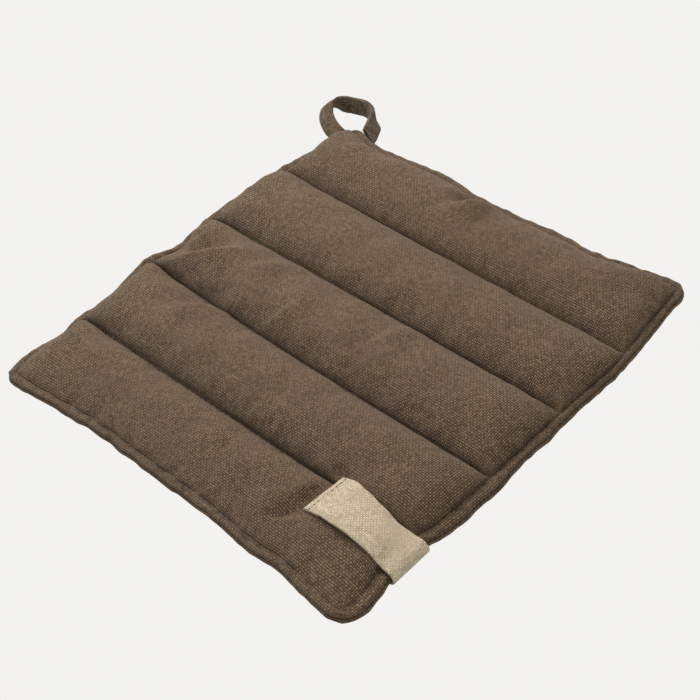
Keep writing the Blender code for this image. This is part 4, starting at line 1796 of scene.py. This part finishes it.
@dataclass
class LinenTab:
    """The linen tape folded over the rim, its ends turned under and sewn down."""

    form: TabForm = TabForm()
    width: float = 20.0
    step: float = 0.9
    across: int = 16
    wrap_steps: int = 12
    turn_steps: int = 5
    side_waver: float = 0.13  # how far the tape's two sides stray
    side_reach: float = 6.0
    side_lengths: tuple[float, float] = (9.0, 9.0)
    face_waver: float = 0.08  # how far its face strays up and down
    face_lengths: tuple[float, float] = (14.0, 12.0)
    stitch_inset: float = 2.0  # from the sewn end to the row of stitches
    side_inset: float = 1.1  # from a side of the tape to the end of the row
    stitch_pitch: float = 2.3
    stitch_gap: float = 0.6
    stitch_thickness: float = 0.4
    hole_gap: float = 1.5  # from one needle hole to the next
    hole_thickness: float = 0.66
    hole_sunk: float = 0.02
    row_samples: int = 60  # places at which the row is read

    def leg(self) -> list[float]:
        """Finds stations along one leg.

        Returns:
            Their X, from the leg's sewn end to the wrap.
        """
        form = self.form
        count = math.ceil((form.wrap_x - form.start_x) / self.step)
        return [form.start_x + (form.wrap_x - form.start_x) * i / count for i in range(count + 1)]

    def turned(self) -> list[tuple[float, float, float]]:
        """The turned end of a leg, from its raw edge to the fold.

        Returns:
            For each section its X, how far it lies below the leg's middle, and the X to read
            the leg at.
        """
        form = self.form
        radius = form.layer_step / 2.0
        count = math.ceil(form.fold_under / self.step)
        flat = [form.start_x + form.fold_under * (1.0 - i / count) for i in range(count)]
        made = [(x, form.layer_step, x) for x in flat]
        for step in range(self.turn_steps + 1):
            angle = math.pi * step / self.turn_steps
            x = form.start_x - radius * math.sin(angle)
            made.append((x, radius + radius * math.cos(angle), form.start_x))
        return made

    def sections(self) -> list[tuple[float, float, float, float, float]]:
        """Finds every section of the tape in order.

        Returns:
            For each section its X, then the Y and Z of its near edge and of its far edge.
        """
        form = self.form
        made = []
        for x, drop, read in self.turned():
            near_y, near_z, far_y, far_z = form.section_at(read)
            made.append((x, near_y, near_z - drop, far_y, far_z - drop))
        for x in self.leg()[1:]:
            made.append((x, *form.section_at(x)))
        _, near_y, _, far_y, _ = made[-1]
        for step in range(1, self.wrap_steps):
            angle = math.pi * step / self.wrap_steps
            x = form.wrap_x + form.wrap_radius * math.sin(angle)
            z = form.wrap_z + form.wrap_radius * math.cos(angle)
            made.append((x, near_y, z, far_y, z))
        for x in reversed(self.leg()):
            near_y, _, far_y, _ = form.section_at(x)
            z = float(form.lower_z(x))
            made.append((x, near_y, z, far_y, z))
        for x, drop, read in reversed(self.turned()[:-1]):
            near_y, _, far_y, _ = form.section_at(read)
            z = float(form.lower_z(read)) - drop
            made.append((x, near_y, z, far_y, z))
        return made

    def places(self) -> Array:
        """Lays out the tape's middle, slightly uneven.

        Returns:
            Its places as a grid, by section and place across.
        """
        rows = np.array(self.sections())
        part = np.linspace(0.0, 1.0, self.across + 1)[None, :]
        x = np.repeat(rows[:, :1], self.across + 1, 1)
        y = rows[:, 1:2] + (rows[:, 3:4] - rows[:, 1:2]) * part
        z = rows[:, 2:3] + (rows[:, 4:5] - rows[:, 2:3]) * part
        run = np.arange(len(rows))[:, None] * self.step
        side = 2.0 * part - 1.0
        strays = ripples(run, side * self.side_reach, self.side_lengths, Seed.TAPE_SIDES)
        y = y + self.side_waver * strays * side * side
        z = z + self.face_waver * ripples(run, y, self.face_lengths, Seed.TAPE_FACE)
        return np.stack([x, y, z], -1)

    def build(self) -> bpy.types.Object:
        """Makes the tape in place of its plain solid.

        Returns:
            The tape's object.
        """
        made = tape_of(self.places(), "linen_tape", LINEN_TAPE, self.form.thickness)
        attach(made, ROOT)
        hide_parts("linen_tab")
        return made

    def row(self, inset: float, proud: float) -> Array:
        """Finds places along the row of stitches at the sewn end of the upper leg.

        Args:
            inset: how far in from the tape's sides the row starts and ends.
            proud: how far above the tape's middle it lies.

        Returns:
            The places.
        """
        x = self.form.start_x + self.stitch_inset
        near_y, near_z, far_y, far_z = self.form.section_at(x)
        part = np.linspace(inset, self.width - inset, self.row_samples) / self.width
        y = near_y + (far_y - near_y) * part
        z = near_z + (far_z - near_z) * part + proud
        return np.stack([np.full(part.shape, x), y, z], -1)

    def sew(self) -> bpy.types.Object:
        """Sews the tape's two ends down, each with one row.

        Returns:
            The object that holds the stitches.
        """
        shape = (self.stitch_pitch, self.stitch_gap, self.stitch_thickness)
        stitches = Stitching("tab_stitches", LINEN_THREAD, *shape)
        proud = self.form.thickness / 2.0
        top = self.row(self.side_inset, proud)
        below = top.copy()
        below[:, 2] = float(self.form.lower_z(float(top[0, 0]))) - proud
        stitches.sew(top, up=1.0)
        stitches.sew(below, up=-1.0)
        return stitches.finish_piece()

    def pierce(self) -> bpy.types.Object:
        """Makes small dark pits between the stitches of the upper row, as painted shade of the needle
        holes.

        Returns:
            The object that holds the pits.
        """
        shape = (self.stitch_pitch, self.hole_gap, self.hole_thickness)
        holes = Stitching("painted_hole_shade_pits", PAINTED_HOLE_SHADE, *shape)
        inset = self.side_inset - self.stitch_pitch / 2.0
        holes.sew(self.row(inset, self.form.thickness / 2.0 - self.hole_sunk), up=1.0)
        return holes.finish_piece()


@dataclass
class HangingLoop:
    """The folded tape of brown cloth whose two ends are sewn into the corner's seam."""

    pad: PadForm = PadForm()
    rows: tuple[LoopRow, ...] = (
        LoopRow(-95.0, 98.4, 5.3, 56.0),
        LoopRow(-102.2, 100.8, 5.4, 56.0),
        LoopRow(-109.4, 103.0, 5.8, 56.0),
        LoopRow(-117.2, 107.6, 6.6, 55.0),
        LoopRow(-122.2, 113.8, 7.2, 52.0),
        LoopRow(-122.5, 118.6, 6.2, 36.0),
        LoopRow(-119.2, 121.8, 4.9, -12.0),
        LoopRow(-113.2, 123.9, 4.7, -18.0),
        LoopRow(-105.8, 124.9, 4.9, -14.0),
        LoopRow(-99.1, 122.6, 5.0, -4.0),
        LoopRow(-93.8, 117.8, 5.2, 32.0),
        LoopRow(-90.2, 112.0, 5.2, 52.0),
        LoopRow(-86.9, 105.9, 5.4, 58.0),
        LoopRow(-84.2, 99.6, 5.4, 58.0),
    )
    creases: tuple[Crease, ...] = (
        Crease(4.9, 0.16, 0.35),
        Crease(6.7, 0.14, 0.45),
        Crease(8.2, 0.13, 0.4),
        Crease(9.4, 0.2, 0.35),
        Crease(11.2, 0.16, 0.4),
    )
    width: float = 8.8  # of the folded tape
    layer: float = 0.95  # thickness of one layer
    layer_gap: float = 0.3
    belly: float = 0.35  # share by which the layers stand further apart half way up
    crease_at_edges: float = 0.4  # how deep a crease is at the tape's edges, beside its middle
    turn_share: float = 0.12  # share of half the width that the fold's turn takes up
    turn_steps: int = 6
    seam_gap: float = 0.4  # from the loop's ends to the edge that they are sewn into
    first_search: float = 0.6  # where along the rows the search for the pad's edge starts
    last_search: float = 12.8  # and where it ends
    search_steps: int = 420
    steps: int = 150
    across: int = 9  # places across each of the two layers
    waver: float = 0.12  # how far the tape strays up and down
    waver_lengths: tuple[float, float] = (9.0, 9.0)
    waver_step: float = 0.6  # how far it runs on from one section to the next
    nearby: float = 0.01  # how far before and after a place its direction is read

    def middle(self, place: float) -> Vector:
        """The middle of the tape at a place along its rows."""
        keys = list(range(len(self.rows)))
        return Vector([float(curve_through(keys, [row[i] for row in self.rows], place)) for i in range(3)])

    def section(self, place: float) -> tuple[Vector, Vector, Vector]:
        """The loop at a place along its rows.

        Args:
            place: the place, where each row is one further.

        Returns:
            Its middle, the direction up its width, and the direction out of its outer face.
        """
        keys = list(range(len(self.rows)))
        lean = math.radians(float(curve_through(keys, [row.lean for row in self.rows], place)))
        tangent = self.middle(place + self.nearby) - self.middle(place - self.nearby)
        inward = Vector((tangent.y, -tangent.x, 0.0)).normalized()
        upward = inward * math.sin(lean) + Vector((0.0, 0.0, 1.0)) * math.cos(lean)
        return self.middle(place), upward, tangent.normalized().cross(upward)

    def fold(self) -> list[tuple[float, float]]:
        """The tape's section: up one layer, round the fold at the top and down the other.

        Returns:
            Places up the width, from -1 to 1, and out of the face, from -1 to 1.
        """
        share = self.turn_share
        flat = [-1.0 + (2.0 - share) * i / (self.across - 1) for i in range(self.across)]
        angles = [math.pi * i / self.turn_steps for i in range(1, self.turn_steps)]
        turn = [(1.0 - share + share * math.sin(angle), -math.cos(angle)) for angle in angles]
        return [(up, -1.0) for up in flat] + turn + [(up, 1.0) for up in reversed(flat)]

    def line(self, up: float, out: float, place: float) -> Vector:
        """Finds one point of the tape's middle.

        Args:
            up: its place up the width, from -1 to 1.
            out: its place out of the face, from -1 to 1.
            place: its place along the rows.

        Returns:
            The point.
        """
        middle, upward, outward = self.section(place)
        half = (self.layer + self.layer_gap) / 2.0 * (1.0 + self.belly * (1.0 - up * up))
        dent = sum(c.depth * math.exp(-(((place - c.place) / c.width) ** 2)) for c in self.creases)
        sunk = dent * (self.crease_at_edges + (1.0 - self.crease_at_edges) * (1.0 - abs(up)))
        return middle + upward * ((self.width - self.layer) / 2.0 * up) + outward * (out * (half - sunk))

    def ends(self, up: float, out: float) -> tuple[float, float]:
        """Finds where one line along the tape meets the edge of the pad.

        Args:
            up: the line's place up the width, from -1 to 1.
            out: its place out of the face, from -1 to 1.

        Returns:
            The first and the last place along the rows that lie outside the pad.
        """
        search = np.linspace(self.first_search, self.last_search, self.search_steps)
        clear = self.pad.clear_of(np.array([self.line(up, out, place) for place in search]))
        free = np.flatnonzero(clear >= self.seam_gap)
        return float(search[free[0]]), float(search[free[-1]])

    def places(self) -> Array:
        """Lays out the tape's middle, with its creases.

        Returns:
            Its places as a grid, by section and place across.
        """
        lines = []
        for up, out in self.fold():
            start, end = self.ends(up, out)
            part = np.linspace(0.0, 1.0, self.steps + 1)
            lines.append([self.line(up, out, start + (end - start) * p) for p in part])
        places = np.array(lines).transpose(1, 0, 2)
        run = np.arange(self.steps + 1)[:, None] * self.waver_step
        girth = np.arange(places.shape[1])[None, :] * 1.0
        places[..., 2] += self.waver * ripples(run, girth, self.waver_lengths, Seed.LOOP_TAPE)
        return places

    def build(self) -> bpy.types.Object:
        """Makes the loop in place of its plain solid.

        Returns:
            The loop's object.
        """
        made = tape_of(self.places(), "loop_tape", LOOP_CLOTH, self.layer)
        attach(made, ROOT)
        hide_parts("hanging_loop")
        return made


@dataclass
class Studio:
    """The pale table, the soft lights and the camera at the photograph's angle."""

    backdrop: Colour = (0.896, 0.888, 0.871)
    floor_width: float = 6.0
    floor_drop: float = 0.0002  # from the pot holder's underside down to the table
    glow_share: float = 1.0  # how much of the floor's brightness no shadow reaches
    sky: float = 0.62
    sky_colour: Colour = (1.0, 0.985, 0.965)
    lamps: tuple[Lamp, ...] = (
        Lamp("window", (-0.60, 0.20, 0.54), 0.5, 6.6, (1.0, 0.98, 0.95)),
        Lamp("overhead", (-0.1, 0.25, 1.1), 0.8, 5.0, (1.0, 0.99, 0.97)),
    )
    azimuth: float = 53.24
    elevation: float = 43.65
    roll: float = -12.22
    distance: float = 0.6582
    target: tuple[float, float] = (0.0053, -0.0005)
    focal_pixels: float = 1533.9
    frame_pixels: float = 700.0  # width of the photograph's frame
    sensor: float = 36.0

    def floor(self) -> bpy.types.Object:
        """Lays the table, which isn't part of the pot holder.

        Returns:
            The table's object.
        """
        mesh = bmesh.new()
        bmesh.ops.create_grid(mesh, x_segments=1, y_segments=1, size=self.floor_width / 2.0)
        bmesh.ops.translate(mesh, verts=mesh.verts, vec=(0.0, 0.0, -self.floor_drop))
        data = mesh_data(mesh, "table")
        made = bpy.data.objects.new("table", data)
        bpy.context.scene.collection.objects.link(made)
        material = bpy.data.materials.new("pale_table")
        material.use_nodes = True
        Wiring(material.node_tree).fed(
            material.node_tree.nodes["Principled BSDF"],
            Base_Color=tuple(channel * (1.0 - self.glow_share) for channel in self.backdrop),
            Roughness=1.0,
            Specular_IOR_Level=0.0,
            Emission_Color=self.backdrop,
            Emission_Strength=self.glow_share,
        )
        data.materials.append(material)
        return made

    def surround(self) -> None:
        """Lights the scene evenly, with the backdrop's colour behind it."""
        world = bpy.data.worlds.new("studio")
        world.use_nodes = True
        w = Wiring(world.node_tree)
        seen = w.fed(world.node_tree.nodes["Background"], Color=self.backdrop)
        light = w.fed(w.node("ShaderNodeBackground"), Color=self.sky_colour, Strength=self.sky)
        chosen = w.node("ShaderNodeMixShader")
        from_camera = w.node("ShaderNodeLightPath").outputs["Is Camera Ray"]
        for socket, signal in zip(chosen.inputs, (from_camera, light, seen)):
            w.feed(socket, signal)
        w.feed(world.node_tree.nodes["World Output"].inputs["Surface"], chosen.outputs[0])
        bpy.context.scene.world = world

    def hang(self, lamp: Lamp) -> None:
        """Adds one lamp.

        Args:
            lamp: the lamp, which is turned to face the pot holder.
        """
        data = bpy.data.lights.new(lamp.name, "AREA")
        data.size = lamp.size
        data.energy = lamp.power
        data.color = lamp.colour
        place = Vector(lamp.place)
        made = bpy.data.objects.new(lamp.name, data)
        made.location = place
        made.rotation_euler = (-place).to_track_quat("-Z", "Y").to_euler()
        bpy.context.scene.collection.objects.link(made)

    def camera(self) -> bpy.types.Object:
        """Places the camera where the photograph was taken from.

        Returns:
            The camera's object.
        """
        turn, rise, roll = (math.radians(v) for v in (self.azimuth, self.elevation, self.roll))
        level = math.cos(rise)
        back = Vector((math.sin(turn) * level, -math.cos(turn) * level, math.sin(rise)))
        right = Vector((0.0, 0.0, 1.0)).cross(back).normalized()
        up = back.cross(right)
        rolled_right = right * math.cos(roll) + up * math.sin(roll)
        rolled_up = up * math.cos(roll) - right * math.sin(roll)
        data = bpy.data.cameras.new("camera")
        data.sensor_width = self.sensor
        data.lens = self.focal_pixels * self.sensor / self.frame_pixels
        made = bpy.data.objects.new("camera", data)
        matrix = Matrix((rolled_right, rolled_up, back)).transposed().to_4x4()
        matrix.translation = Vector((*self.target, 0.0)) + back * self.distance
        made.matrix_world = matrix
        bpy.context.scene.collection.objects.link(made)
        bpy.context.scene.camera = made
        return made

    def build(self) -> None:
        """Sets up the table, the lights and the camera."""
        self.floor()
        self.surround()
        for lamp in self.lamps:
            self.hang(lamp)
        self.camera()
        bpy.context.scene.view_settings.view_transform = "Standard"


def main() -> None:
    """Builds the studio and the pot holder, piece by piece."""
    Studio().build()
    pad = QuiltedPad()
    log.info("pad: %s", pad.build().name)
    log.info("pad stitches: %s", pad.sew().name)
    tab = LinenTab()
    tape = tab.build()
    sewing = [tab.sew(), tab.pierce()]
    log.info("linen tab: %s", tape.name)
    loop = HangingLoop().build()
    log.info("hanging loop: %s", loop.name)


if __name__ == "__main__":
    main()
